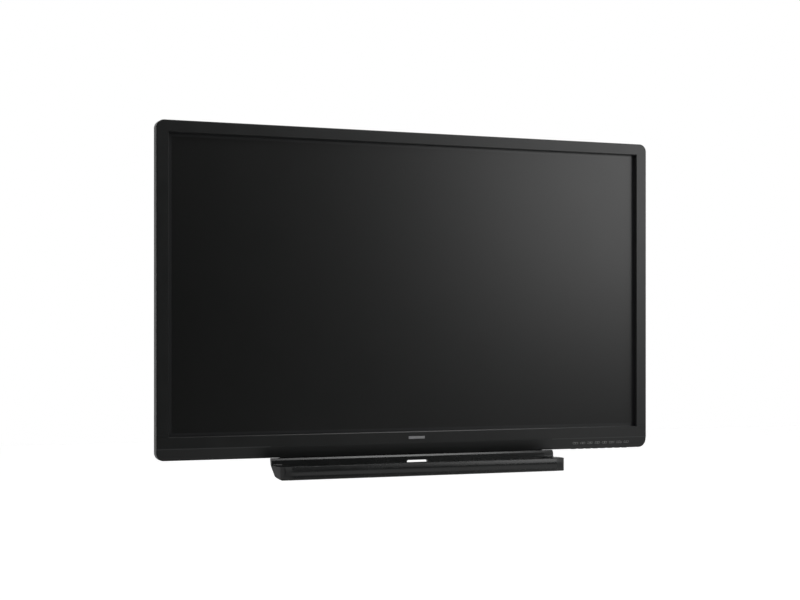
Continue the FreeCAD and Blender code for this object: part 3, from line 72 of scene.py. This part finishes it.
camera_data = bpy.data.cameras.new("camera")
camera_data.sensor_width = SENSOR_WIDTH
camera_data.lens = SENSOR_WIDTH * FOCAL_PIXELS / IMAGE_WIDTH
camera_data.shift_y = HORIZON_BELOW_CENTRE / IMAGE_WIDTH
camera = bpy.data.objects.new("camera", camera_data)
camera.location = CAMERA_PLACE
camera.rotation_euler = (math.radians(90.0), 0.0, math.radians(-TURN))
bpy.context.scene.collection.objects.link(camera)
bpy.context.scene.camera = camera
print("lens", round(camera_data.lens, 1), "mm")

# %% [markdown]
# ## A small kit for finishes
#
# Every finish below starts from the same shader and gets its character from procedural
# textures. The textures read object coordinates, which are in metres here, so a grain of
# half a millimetre is simply written as one. UV maps would need unwrapping and would stretch
# over the bends. Numbers that hold all over a surface are typed on the shader's own sockets.
# Each CAD piece names the finish it wants, and the functions that build the finishes carry
# the same names, so a finish is kept under the name of its function.

# %% Finish kit
SHADER = "Principled BSDF"
finishes = {}


def add_node(owner, kind, **inputs):
    """A node in the tree of a material or of the world, with some of its inputs set."""
    made = owner.node_tree.nodes.new(kind)
    for name, value in inputs.items():
        made.inputs[name.replace("_", " ")].default_value = value
    return made


def link(owner, start, end):
    owner.node_tree.links.new(start, end)


def new_finish(name, roughness, specular=0.5, metallic=0.0):
    """A material with its shader, before any texture."""
    material = bpy.data.materials.new(name)
    material.use_nodes = True
    shader = material.node_tree.nodes[SHADER]
    shader.inputs["Roughness"].default_value = roughness
    shader.inputs["Specular IOR Level"].default_value = specular
    shader.inputs["Metallic"].default_value = metallic
    return material, shader


def place_of(material, stretch=(1.0, 1.0, 1.0)):
    """Object coordinates, in metres, squeezed by one factor along each axis."""
    coordinates = add_node(material, "ShaderNodeTexCoord")
    mapping = add_node(material, "ShaderNodeMapping", Scale=stretch)
    link(material, coordinates.outputs["Object"], mapping.inputs["Vector"])
    return mapping.outputs["Vector"]


def keep_finishes(*builders):
    """Build finishes, and keep each under the name of its function."""
    for builder in builders:
        finishes[builder.__name__] = builder()
        print(builder.__name__, len(finishes[builder.__name__].node_tree.nodes), "nodes")


wanted = {subpart["material_slot"] for subpart in frame["record"]["subparts"]}
print("the record asks for", len(wanted), "finishes")

# %% [markdown]
# ## Grain and drift
#
# Even a clean surface is uneven in two ways. Its tone and gloss drift slowly from place to
# place, and a fine grain breaks the light. Noise does for both, at two sizes. Most of a
# noise's values lie in a middle band, so that band alone is spread over the two tones. The
# grain is a bump whose depth is given in metres, as it would be measured on the real piece.
# Painted pictures of grain would repeat over a piece as large as this one.

# %% Grain and drift
NOISE_LOW = 0.3
NOISE_HIGH = 0.7


def noise(material, size, detail=2.0, stretch=(1.0, 1.0, 1.0)):
    """Noise whose lumps are about size metres across."""
    made = add_node(material, "ShaderNodeTexNoise", Scale=1.0 / size, Detail=detail)
    link(material, place_of(material, stretch), made.inputs["Vector"])
    return made.outputs["Fac"]


def tint(material, shader, factor, dark, light):
    """Colour that drifts between two tones."""
    ramp = add_node(material, "ShaderNodeValToRGB")
    first, last = ramp.color_ramp.elements
    first.position = NOISE_LOW
    first.color = (*dark, 1.0)
    last.position = NOISE_HIGH
    last.color = (*light, 1.0)
    link(material, factor, ramp.inputs["Fac"])
    link(material, ramp.outputs["Color"], shader.inputs["Base Color"])


def vary_roughness(material, shader, factor, low, high):
    spread = add_node(
        material, "ShaderNodeMapRange",
        From_Min=NOISE_LOW, From_Max=NOISE_HIGH, To_Min=low, To_Max=high)
    link(material, factor, spread.inputs["Value"])
    link(material, spread.outputs["Result"], shader.inputs["Roughness"])


def raise_grain(material, shader, height, depth):
    """A bump of the given depth in metres."""
    bump = add_node(material, "ShaderNodeBump", Distance=depth, Strength=1.0)
    link(material, height, bump.inputs["Height"])
    link(material, bump.outputs["Normal"], shader.inputs["Normal"])


def between(color, share):
    """A colour made lighter or darker by a share of itself."""
    return tuple(channel * share for channel in color)


print("noise spread from", NOISE_LOW, "to", NOISE_HIGH)

# %% [markdown]
# ## Moulded black plastic
#
# The bezel, the tray, the keys and the handles are injection moulded and left as they come
# from the mould. The mould's spark grain breaks the gloss into a soft satin sheen. Two
# noises are enough: one of half a millimetre or more as the grain, and one of several
# centimetres that moves the tone by about a tenth and the gloss by less. The base colour is
# very dark, because what the eye takes for the grey of black plastic is mostly the reflection
# of the room. The pieces differ in tone, gloss and grain alone, so one function makes them
# all, where a graph for each would say the same thing many times.

# %% Moulded plastic
PATCH = 70.0 * MM
GLOSS_DRIFT = 0.015


def moulded(name, color, roughness, grain=0.6 * MM, depth=0.012 * MM, drift=0.12):
    material, shader = new_finish(name, roughness)
    slow = noise(material, PATCH, detail=3.0)
    tint(material, shader, slow, between(color, 1.0 - drift), between(color, 1.0 + drift))
    vary_roughness(material, shader, slow, roughness - GLOSS_DRIFT, roughness + GLOSS_DRIFT)
    raise_grain(material, shader, noise(material, grain), depth)
    return material


def key_plastic():
    return moulded("satin_keys", (0.010, 0.010, 0.010), 0.30)


def rocker_plastic():
    return moulded("glossy_rocker", (0.012, 0.012, 0.012), 0.18, depth=0.004 * MM)


def terminal_plastic():
    return moulded("socket_plastic", (0.012, 0.012, 0.012), 0.42)


def speaker_plastic():
    return moulded("speaker_plastic", (0.015, 0.015, 0.015), 0.5, grain=1.2 * MM)


def handle_plastic():
    return moulded(
        "leather_grain_handle", (0.013, 0.013, 0.013), 0.5, grain=2.2 * MM, depth=0.08 * MM)


def cover_plastic():
    return moulded("textured_cover", (0.013, 0.0135, 0.014), 0.52, grain=1.6 * MM, depth=0.05 * MM)


keep_finishes(
    key_plastic, rocker_plastic, terminal_plastic, speaker_plastic, handle_plastic, cover_plastic)

# %% [markdown]
# ## Panel layers, gasket and touch filters
#
# Inside the panel are white frames and sheets, a clear plate that spreads the light of its
# lamps, a dark liquid crystal cell, and a foam gasket. Round the screen lie the strips that
# let infrared light through and look nearly black. Glass and film are polished, so their
# grain is only a thousandth of a millimetre or two deep, and the foam's is a tenth. The clear
# plate could be see-through, but the closed housing hides it, so a pale gloss does for it.

# %% Panel layers and filters
def white_plastic():
    return moulded("white_panel_plastic", (0.8, 0.8, 0.78), 0.4, drift=0.04)


def light_guide():
    return moulded("clear_guide", (0.72, 0.78, 0.78), 0.08, depth=0.002 * MM, drift=0.03)


def cell_glass():
    return moulded("cell_glass", (0.006, 0.006, 0.008), 0.12, depth=0.001 * MM)


def gasket_rubber():
    return moulded("foam_gasket", (0.02, 0.02, 0.02), 0.85, grain=0.9 * MM, depth=0.12 * MM)


def touch_filter():
    return moulded("dark_filter", (0.0150, 0.0145, 0.0155), 0.16, depth=0.002 * MM)


keep_finishes(white_plastic, light_guide, cell_glass, gasket_rubber, touch_filter)

# %% [markdown]
# ## Arithmetic on places
#
# Three finishes change from one part of a surface to another: the bezel has a painted highlight
# along its crease, the tray has rubbed ends, and the screen has a printed border. Where such a
# part begins is known in metres, so it is worked out from the coordinates, as a value of one
# inside it and zero outside. That stays sharp at any distance, where a painted mask would blur.

# %% Arithmetic on places
def math_node(owner, operation, first, second=0.0):
    """A sum, product or test of two values, each a number or the output of another node."""
    made = add_node(owner, "ShaderNodeMath")
    made.operation = operation
    for socket, value in zip(made.inputs, (first, second)):
        if isinstance(value, (int, float)):
            socket.default_value = value
        else:
            link(owner, value, socket)
    return made.outputs[0]


def separate_place(material):
    split = add_node(material, "ShaderNodeSeparateXYZ")
    link(material, place_of(material), split.inputs["Vector"])
    return split


def beyond(material, split, distance):
    """One where a point is further than distance to either side of the middle, zero elsewhere."""
    across = math_node(material, "ABSOLUTE", split.outputs["X"])
    return math_node(material, "GREATER_THAN", across, distance)


def color_mix(material, factor, first, second):
    """The first colour where the factor is zero, and the second where it is one."""
    made = add_node(material, "ShaderNodeMix")
    made.data_type = "RGBA"
    link(material, factor, made.inputs["Factor"])
    colors = [socket for socket in made.inputs if socket.type == "RGBA"]
    for socket, value in zip(colors, (first, second)):
        if isinstance(value, tuple):
            socket.default_value = (*value, 1.0)
        else:
            link(material, value, socket)
    return [socket for socket in made.outputs if socket.type == "RGBA"][0]


def fed_by(shader, name):
    """The output that feeds one of the shader's inputs so far."""
    return shader.inputs[name].links[0].from_socket


# %% [markdown]
# ## The bezel's own plastic
#
# The bezel is the same black plastic with one thing more. A thin paler line is painted along the
# crease of its lower frame as a highlight. It stands in for the light that the crease would catch
# beside the tray, and it is left out over the tray, where the tray would hide that light. A strip
# of geometry could make the line, but it would stand proud of the face, so the colour alone
# changes there.

# %% Bezel plastic
CREASE_ABOVE_BOTTOM = 34.5 * MM
CREASE_LINE = 3.0 * MM
# A paler tone painted along the crease as a highlight, beside the tray only.
CREASE_HIGHLIGHT_TONE = (0.017, 0.018, 0.018)


def painted_crease_highlight(material):
    """One on the painted highlight line along the crease, beside the tray, and zero elsewhere."""
    split = separate_place(material)
    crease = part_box("front_frame_lower")[0][2] + CREASE_ABOVE_BOTTOM
    above_crease = math_node(material, "SUBTRACT", split.outputs["Z"], crease)
    off_line = math_node(material, "ABSOLUTE", above_crease)
    on_line = math_node(material, "LESS_THAN", off_line, CREASE_LINE / 2)
    tray_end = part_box("tray_end_right")[1][0]
    return math_node(material, "MULTIPLY", on_line, beyond(material, split, tray_end))


def bezel_plastic():
    material = moulded("satin_bezel", (0.0030, 0.0036, 0.0035), 0.40)
    shader = material.node_tree.nodes[SHADER]
    plain = fed_by(shader, "Base Color")
    # The crease highlight is painted into the base colour here.
    whole = color_mix(material, painted_crease_highlight(material), plain, CREASE_HIGHLIGHT_TONE)
    link(material, whole, shader.inputs["Base Color"])
    return material


keep_finishes(bezel_plastic)

# %% [markdown]
# ## The pen tray's plastic
#
# The ends of the tray are the corners that hands and sleeves brush against, so below the
# ledge they have lost their polish. One finish does for the bar and its two end caps, because
# a point's place alone decides whether it is rubbed. A finish of their own for the caps would
# leave a seam where they meet the bar, and rubbing doesn't stop at a seam.

# %% Tray plastic
TRAY_ROUGHNESS = 0.27
RUBBED_ROUGHNESS = 0.5
RUBBED_LENGTH = 34.0 * MM
RUBBED_BELOW_LEDGE = 20.0 * MM


def tray_plastic():
    """Satin plastic, rubbed dull at both ends from some way below the ledge."""
    material = moulded("satin_tray", (0.0056, 0.0062, 0.0061), TRAY_ROUGHNESS)
    shader = material.node_tree.nodes[SHADER]
    end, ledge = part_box("tray_end_right")[1][0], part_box("tray_end_right")[1][2]
    split = separate_place(material)
    low = math_node(material, "LESS_THAN", split.outputs["Z"], ledge - RUBBED_BELOW_LEDGE)
    rubbed = math_node(material, "MULTIPLY", low, beyond(material, split, end - RUBBED_LENGTH))
    change = math_node(material, "MULTIPLY", rubbed, RUBBED_ROUGHNESS - TRAY_ROUGHNESS)
    polished = fed_by(shader, "Roughness")
    link(material, math_node(material, "ADD", polished, change), shader.inputs["Roughness"])
    return material


keep_finishes(tray_plastic)

# %% [markdown]
# ## The screen
#
# The front glass is etched, so it mirrors the room as a soft glow and not as a picture. It is
# seen as one piece, but it has two areas: the picture itself and a border printed in black
# ink behind the glass. A hair of deeper black lies between the two, where the picture's last
# rows never light. The border could be a sheet of its own behind clear glass, but no depth
# shows between them, and clear glass takes far longer to render without noise.

# %% Screen glass
PICTURE_HALF_WIDTH = 0.7695
PICTURE_BOTTOM = -0.416
PICTURE_TOP = 0.4496
EDGE_LINE = 3.0 * MM
BORDER_TONE = (0.0090, 0.0095, 0.0100)
EDGE_TONE = (0.0012, 0.0012, 0.0012)
PICTURE_TONE = (0.0012, 0.0015, 0.0013)


def inside_picture(material, grow):
    """One inside the picture's rectangle, grown by some metres, and zero outside it."""
    split = separate_place(material)
    across = math_node(material, "ABSOLUTE", split.outputs["X"])
    in_width = math_node(material, "LESS_THAN", across, PICTURE_HALF_WIDTH + grow)
    above = math_node(material, "GREATER_THAN", split.outputs["Z"], PICTURE_BOTTOM - grow)
    below = math_node(material, "LESS_THAN", split.outputs["Z"], PICTURE_TOP + grow)
    in_height = math_node(material, "MULTIPLY", above, below)
    return math_node(material, "MULTIPLY", in_width, in_height)


def screen_glass():
    material, shader = new_finish("etched_glass", 0.34)
    ring = color_mix(material, inside_picture(material, EDGE_LINE / 2), BORDER_TONE, EDGE_TONE)
    whole = color_mix(material, inside_picture(material, -EDGE_LINE / 2), ring, PICTURE_TONE)
    link(material, whole, shader.inputs["Base Color"])
    vary_roughness(material, shader, noise(material, 120.0 * MM), 0.335, 0.345)
    raise_grain(material, shader, noise(material, 0.4 * MM), 0.003 * MM)
    return material


keep_finishes(screen_glass)

# %% [markdown]
# ## Metals
#
# Rolled sheet and turned parts both carry fine parallel lines from their making. Noise that
# is squeezed along one axis draws them: long lumps along the grain, short ones across it.
# Zinc plating adds its spangle, large flat crystals that each catch the light a little
# differently, and a Voronoi texture is exactly such a set of cells. An anisotropic shader
# could do the brushing too, but the lines themselves are what shows from close by.

# %% Metals
LINE_DEPTH = 0.01 * MM
DARK_LINE = 0.88
LIGHT_LINE = 1.08
GLOSS_BELOW = 0.05
GLOSS_ABOVE = 0.08
SPANGLE = 12.0 * MM


def brushed(name, color, roughness, stretch, line=0.8 * MM):
    material, shader = new_finish(name, roughness, metallic=1.0)
    lines = noise(material, line, detail=3.0, stretch=stretch)
    tint(material, shader, lines, between(color, DARK_LINE), between(color, LIGHT_LINE))
    vary_roughness(material, shader, lines, roughness - GLOSS_BELOW, roughness + GLOSS_ABOVE)
    raise_grain(material, shader, lines, LINE_DEPTH)
    return material


def plated_steel():
    material, shader = new_finish("zinc_plated_sheet", 0.42, metallic=1.0)
    cells = add_node(material, "ShaderNodeTexVoronoi", Scale=1.0 / SPANGLE)
    link(material, place_of(material), cells.inputs["Vector"])
    grey = add_node(material, "ShaderNodeRGBToBW")
    link(material, cells.outputs["Color"], grey.inputs["Color"])
    tint(material, shader, grey.outputs["Val"], (0.46, 0.47, 0.48), (0.62, 0.63, 0.64))
    vary_roughness(material, shader, grey.outputs["Val"], 0.34, 0.5)
    raise_grain(material, shader, noise(material, 1.5 * MM), 0.02 * MM)
    return material


def plate_metal():
    return brushed("satin_name_plate", (0.36, 0.36, 0.37), 0.42, (0.02, 1.0, 1.0), line=0.3 * MM)


def mount_steel():
    return brushed("turned_boss_steel", (0.52, 0.52, 0.53), 0.3, (1.0, 0.05, 1.0))


def led_bar_metal():
    return brushed("lamp_bar_aluminium", (0.7, 0.7, 0.71), 0.35, (1.0, 1.0, 0.03))


def standoff_brass():
    return brushed("turned_brass", (0.66, 0.47, 0.2), 0.25, (1.0, 0.05, 1.0))


def socket_shell():
    return brushed("nickel_shell", (0.6, 0.58, 0.55), 0.22, (1.0, 1.0, 0.04), line=0.4 * MM)


keep_finishes(plated_steel, plate_metal, mount_steel, led_bar_metal, standoff_brass, socket_shell)

# %% [markdown]
# ## Painted and blackened steel
#
# Powder paint is sprayed dry and melts into a skin like fine orange peel. Its lumps are a
# millimetre or two across and low, so the highlight breaks up but doesn't sparkle. The
# screws are blackened instead: thinner, smoother, and slightly brown where the oxide is worn.
# From far off the plastic's finish could do for both, but close by oxide glints as metal does
# and paint doesn't.

# %% Painted steel
def bracket_steel():
    material, shader = new_finish("powder_coated_bracket", 0.45)
    tone = noise(material, 20.0 * MM, detail=4.0)
    tint(material, shader, tone, (0.010, 0.010, 0.011), (0.015, 0.015, 0.016))
    raise_grain(material, shader, noise(material, 1.6 * MM), 0.05 * MM)
    return material


def black_screw():
    material, shader = new_finish("blackened_screw", 0.38, metallic=0.6)
    tone = noise(material, 3.0 * MM, detail=4.0)
    tint(material, shader, tone, (0.02, 0.02, 0.02), (0.05, 0.045, 0.04))
    vary_roughness(material, shader, tone, 0.3, 0.48)
    raise_grain(material, shader, noise(material, 0.4 * MM), 0.01 * MM)
    return material


keep_finishes(bracket_steel, black_screw)

# %% [markdown]
# ## Circuit boards
#
# A board is glass fibre under a green lacquer. The copper tracks below the lacquer show as
# slightly lighter stripes that run straight and turn square. Bricks with thin joints give
# such a net without drawing a single track, and it only shows through the vents. A brick
# texture lies flat, so it is turned upright, as the boards stand.

# %% Circuit boards
BOARD_TONE = (0.010, 0.090, 0.035, 1.0)
LIGHTER_BOARD_TONE = (0.012, 0.105, 0.042, 1.0)
TRACK_TONE = (0.030, 0.170, 0.070, 1.0)
NET_SCALE = 90.0
JOINT = 0.03


def circuit_board():
    material, shader = new_finish("green_board", 0.32)
    tracks = add_node(
        material, "ShaderNodeTexBrick", Scale=NET_SCALE, Color1=BOARD_TONE,
        Color2=LIGHTER_BOARD_TONE, Mortar=TRACK_TONE, Mortar_Size=JOINT)
    upright = add_node(material, "ShaderNodeMapping", Rotation=(math.radians(90.0), 0.0, 0.0))
    link(material, place_of(material), upright.inputs["Vector"])
    link(material, upright.outputs["Vector"], tracks.inputs["Vector"])
    link(material, tracks.outputs["Color"], shader.inputs["Base Color"])
    vary_roughness(material, shader, noise(material, 10.0 * MM), 0.26, 0.4)
    raise_grain(material, shader, tracks.outputs["Fac"], 0.02 * MM)
    return material


keep_finishes(circuit_board)

# %% [markdown]
# ## Hand the finishes to the pieces
#
# The CAD model's record says which finish each piece takes, so one loop dresses the whole
# model. A finish is made once and shared, as one batch of plastic or one sheet of steel
# would be. The pieces could be dressed one by one, but then each new piece would need a line.

# %% Dress the CAD pieces
for subpart in frame["record"]["subparts"]:
    mesh = frame["nodes"][subpart["node"]].data
    mesh.materials.clear()
    mesh.materials.append(finishes[subpart["material_slot"]])

# %% [markdown]
# ## Where the key marks go
#
# The keys sit under the bezel, out of sight, so each has a mark printed on the face above it.
# That face is the band below the crease, which leans back towards its lower edge. A mark is
# drawn flat, with one axis across and one up, and then laid on the leaning band. Wrapping a
# flat drawing onto the bezel with a modifier would do it too, but the band is flat, so two
# directions are all it takes.

# %% Place of the marks
KEY_NAMES = ["power", "menu", "enter", "input", "up", "down", "left", "right"]
BAND_TILT = math.radians(12.0)
BAND_UP = Vector((0.0, -math.sin(BAND_TILT), math.cos(BAND_TILT)))
BAND_INWARD = Vector((0.0, math.cos(BAND_TILT), math.sin(BAND_TILT)))
MARK_ABOVE_BOTTOM = 18.8 * MM
bezel_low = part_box("front_frame_lower")[0]


def mark_origin(x):
    """The middle of a mark, on the leaning band of the bezel."""
    back = (CREASE_ABOVE_BOTTOM - MARK_ABOVE_BOTTOM) * math.tan(BAND_TILT)
    return Vector((x, bezel_low[1] + back, bezel_low[2] + MARK_ABOVE_BOTTOM))


print("marks at height", round(mark_origin(0.0)[2], 4))

# %% [markdown]
# ## The signs
#
# The marks are the plain signs that any such panel has: a switch sign, a list, a bent arrow,
# a way in, and four arrow heads, each in a thin rounded frame. A sign is a list of strokes,
# and a stroke is a list of points, which is how a plotter would draw it. A picture of the
# signs would need UV maps and would blur from close by.

# %% Signs
SIGN = 1.7 * MM
MARK_FRAME = (17.0 * MM, 5.6 * MM)
FRAME_ROUND = 1.2 * MM
ARROW_ANGLES = {"up": 90, "down": 270, "left": 180, "right": 0}


def arc(middle, radius, start, end, steps):
    """Points along part of a circle, with angles in degrees from the right."""
    points = []
    for step in range(steps + 1):
        angle = math.radians(start + (end - start) * step / steps)
        points.append((middle[0] + radius * math.cos(angle), middle[1] + radius * math.sin(angle)))
    return points


def arrow_head(angle):
    """A closed triangle that points along an angle in degrees."""
    corners = []
    for turn in (0, 130, 230):
        direction = math.radians(angle + turn)
        corners.append((SIGN * math.cos(direction), SIGN * math.sin(direction)))
    return corners + corners[:1]


def sign_strokes(name):
    """The lines of one sign, about its own middle."""
    if name == "power":
        return [arc((0, 0), SIGN, 125, 415, 20), [(0, 0), (0, SIGN * 1.1)]]
    if name == "menu":
        return [[(-SIGN, row * SIGN * 0.75), (SIGN, row * SIGN * 0.75)] for row in (-1, 0, 1)]
    if name == "enter":
        return [
            [(SIGN, SIGN), (SIGN, -SIGN * 0.3), (-SIGN, -SIGN * 0.3)],
            [(-SIGN * 0.3, SIGN * 0.4), (-SIGN, -SIGN * 0.3), (-SIGN * 0.3, -SIGN)]]
    if name == "input":
        return [
            [(0, SIGN), (SIGN * 1.3, SIGN), (SIGN * 1.3, -SIGN), (0, -SIGN)],
            [(-SIGN * 1.4, 0), (SIGN * 0.4, 0)],
            [(-SIGN * 0.2, SIGN * 0.5), (SIGN * 0.4, 0), (-SIGN * 0.2, -SIGN * 0.5)]]
    return [arrow_head(ARROW_ANGLES[name])]


def frame_stroke():
    """A rounded frame round the sign."""
    half_width, half_height = MARK_FRAME[0] / 2, MARK_FRAME[1] / 2
    points = []
    for across, up, start in ((1, 1, 0), (-1, 1, 90), (-1, -1, 180), (1, -1, 270)):
        middle = (across * (half_width - FRAME_ROUND), up * (half_height - FRAME_ROUND))
        points += arc(middle, FRAME_ROUND, start, start + 90, 5)
    return points + points[:1]


print("strokes", {key_name: len(sign_strokes(key_name)) for key_name in KEY_NAMES})

# %% [markdown]
# ## Ink on the band
#
# Ink has almost no thickness. Each mark is a curve with a rounded section, sunk into the
# plastic until only a tenth of a millimetre stands out, so the line that shows is well under
# a millimetre wide. Flat ribbons that lie on the face would flicker against it, and a boolean
# cut would be far too deep for ink.

# %% Key marks
INK_RADIUS = 0.65 * MM
INK_PROUD = 0.1 * MM


def ink():
    material, shader = new_finish("grey_ink", 0.55)
    tone = noise(material, 4.0 * MM, detail=3.0)
    tint(material, shader, tone, (0.33, 0.33, 0.32), (0.42, 0.42, 0.41))
    return material


def key_mark(name, x, material):
    curve = bpy.data.curves.new("mark_" + name, "CURVE")
    curve.dimensions = "3D"
    curve.bevel_depth = INK_RADIUS
    curve.bevel_resolution = 1
    origin = mark_origin(x)
    for stroke in sign_strokes(name) + [frame_stroke()]:
        spline = curve.splines.new("POLY")
        spline.points.add(len(stroke) - 1)
        for point, (across, up) in zip(spline.points, stroke):
            on_face = origin + Vector((across, 0.0, 0.0)) + BAND_UP * up
            point.co = (*(on_face + BAND_INWARD * (INK_RADIUS - INK_PROUD)), 1.0)
    mark = bpy.data.objects.new("mark_" + name, curve)
    bpy.context.scene.collection.objects.link(mark)
    curve.materials.append(material)
    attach(mark, "display")


grey_ink = ink()
for key_name in KEY_NAMES:
    low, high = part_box("key_" + key_name)
    key_mark(key_name, (low[0] + high[0]) / 2, grey_ink)
print("marks", len(KEY_NAMES))

# %% [markdown]
# ## The room
#
# The page round the object is white, but white light from all sides would turn black plastic
# grey. A studio solves this with black cards in front of the product, and so does this world:
# it is white to the eye, and in reflections from a backdrop that ends a little to the left
# and from one card on the left, and dark in the directions that the front mirrors. What
# lights the object is a plain even level instead. Real cards would do the same, but they
# would stand in the way of every other view.

# %% World
WORLD_LEVEL = 0.6
DARK_CARD = 0.012
BACKDROP_EDGE = (0.0, 0.35)
BACKDROP_LEFT_EDGE = (-0.36, -0.26)
LEFT_CARD_EDGE = (0.6, 0.88)
LEFT_CARD_FRONT = (-0.5, -0.2)
LEFT_CARD_BACK = (0.05, 0.3)


def ray_kinds(owner):
    """Two factors: is a ray the eye's own, straight or through glass, and is it mirrored."""
    paths = add_node(owner, "ShaderNodeLightPath")
    seen = math_node(
        owner, "MAXIMUM", paths.outputs["Is Camera Ray"], paths.outputs["Is Transmission Ray"])
    return seen, paths.outputs["Is Glossy Ray"]


def soft_step(world, value, edge):
    """Zero before an edge and one behind it, with a smooth passage."""
    made = add_node(world, "ShaderNodeMapRange", From_Min=edge[0], From_Max=edge[1])
    made.interpolation_type = "SMOOTHSTEP"
    link(world, value, made.inputs["Value"])
    return made.outputs["Result"]


def white_cards(world):
    """How white a mirrored ray finds the room: a backdrop, a card on the left, the rest dark."""
    direction = add_node(world, "ShaderNodeTexCoord")
    split = add_node(world, "ShaderNodeSeparateXYZ")
    link(world, direction.outputs["Generated"], split.inputs["Vector"])
    rightwards, backwards = split.outputs["X"], split.outputs["Y"]
    leftwards = math_node(world, "MULTIPLY", rightwards, -1.0)
    backdrop = math_node(
        world, "MULTIPLY", soft_step(world, backwards, BACKDROP_EDGE),
        soft_step(world, rightwards, BACKDROP_LEFT_EDGE))
    card_depth = math_node(
        world, "SUBTRACT", soft_step(world, backwards, LEFT_CARD_FRONT),
        soft_step(world, backwards, LEFT_CARD_BACK))
    card = math_node(world, "MULTIPLY", soft_step(world, leftwards, LEFT_CARD_EDGE), card_depth)
    return math_node(world, "MAXIMUM", math_node(world, "MAXIMUM", backdrop, card), DARK_CARD)


def build_world():
    world = bpy.data.worlds.new("white_studio")
    world.use_nodes = True
    background = world.node_tree.nodes["Background"]
    background.inputs["Color"].default_value = (1.0, 1.0, 1.0, 1.0)
    seen, glossy = ray_kinds(world)
    mirrored = math_node(world, "MULTIPLY", glossy, white_cards(world))
    other = math_node(world, "SUBTRACT", 1.0, math_node(world, "MAXIMUM", seen, glossy))
    rest = math_node(world, "MULTIPLY", other, WORLD_LEVEL)
    shown = math_node(world, "ADD", math_node(world, "MAXIMUM", seen, mirrored), rest)
    link(world, shown, background.inputs["Strength"])
    bpy.context.scene.world = world
    print("world", len(world.node_tree.nodes), "nodes")


build_world()

# %% [markdown]
# ## The floor
#
# The floor is pale, lies half a metre below the tray and keeps the object's shadow. It ends a
# little in front of the display: further forward the screen would mirror it and turn paler,
# most of all near its lower edge. A little added white, for the eye and in reflections, lifts
# the floor towards the white of the page. A shadow catcher could keep the shadow too, but it
# gives a shadow to lay over a page afterwards, and this picture is whole as it is rendered.

# %% Floor
FLOOR_HEIGHT = -1.05
FLOOR_FRONT = -0.28
FLOOR_REACH = 9.0
FLOOR_GLOW = 0.5
FLOOR_MIRRORED = 0.1


def floor_finish():
    """Pale paint, with a little added white where the eye or a reflection meets it."""
    material, shader = new_finish("pale_floor", 0.7, specular=0.2)
    tone = noise(material, 400.0 * MM, detail=3.0)
    tint(material, shader, tone, (0.80, 0.80, 0.80), (0.82, 0.82, 0.82))
    seen, glossy = ray_kinds(material)
    mirrored = math_node(material, "MULTIPLY", glossy, FLOOR_MIRRORED)
    glow = math_node(material, "ADD", math_node(material, "MULTIPLY", seen, FLOOR_GLOW), mirrored)
    shader.inputs["Emission Color"].default_value = (1.0, 1.0, 1.0, 1.0)
    link(material, glow, shader.inputs["Emission Strength"])
    return material


def build_floor():
    corners = [
        (-FLOOR_REACH, FLOOR_FRONT, FLOOR_HEIGHT), (FLOOR_REACH, FLOOR_FRONT, FLOOR_HEIGHT),
        (FLOOR_REACH, FLOOR_REACH, FLOOR_HEIGHT), (-FLOOR_REACH, FLOOR_REACH, FLOOR_HEIGHT)]
    mesh = bpy.data.meshes.new("floor")
    mesh.from_pydata(corners, [], [(0, 1, 2, 3)])
    mesh.materials.append(floor_finish())
    floor = bpy.data.objects.new("floor", mesh)
    bpy.context.scene.collection.objects.link(floor)
    print("floor at", FLOOR_HEIGHT, "from", FLOOR_FRONT, "to", FLOOR_REACH)


build_floor()

# %% [markdown]
# ## Lamps
#
# One very large soft box, off to the right and a little above, does most of the work: the
# satin front smears its reflection into the slow glow that climbs towards the upper right.
# Its place, size and strength were worked out from that glow. A long strip above and a little
# in front draws the thin bright line on the bevelled ledge of the tray. A weak card, low in
# front, gives the rounded lip of the tray its grey: the lip faces the floor there, and would
# mirror nothing but the dark. Point lamps would leave hard spots, and a stronger even light
# would only wash the black out.

# %% Lamps
SCREEN_MIDDLE = (0.0, -0.1, 0.0)
LEDGE_MIDDLE = (0.0, -0.12, -0.5)


def soft_box(name, place, aim, width, height, radiance):
    """A rectangular lamp that is given by its brightness, as a screen is."""
    data = bpy.data.lights.new(name, "AREA")
    data.shape = "RECTANGLE"
    data.size = width
    data.size_y = height
    data.energy = radiance * math.pi * width * height
    lamp = bpy.data.objects.new(name, data)
    lamp.location = place
    lamp.rotation_euler = (Vector(aim) - Vector(place)).to_track_quat("-Z", "Y").to_euler()
    bpy.context.scene.collection.objects.link(lamp)
    print(name, round(data.energy, 1), "W")


soft_box(
    "right_soft_box", place=(3.718, -3.225, 1.188), aim=SCREEN_MIDDLE,
    width=3.69, height=2.36, radiance=3.59)
soft_box(
    "top_strip", place=(0.8, -0.82, 2.0), aim=LEDGE_MIDDLE,
    width=2.8, height=0.7, radiance=5.0)
soft_box(
    "low_front_card", place=(1.4, -1.90, -1.92), aim=LEDGE_MIDDLE,
    width=3.6, height=2.0, radiance=0.66)

# %% [markdown]
# ## Colour handling
#
# The Standard view shows colours as they were chosen, so black stays black.

# %% Finish
bpy.context.scene.view_settings.view_transform = "Standard"
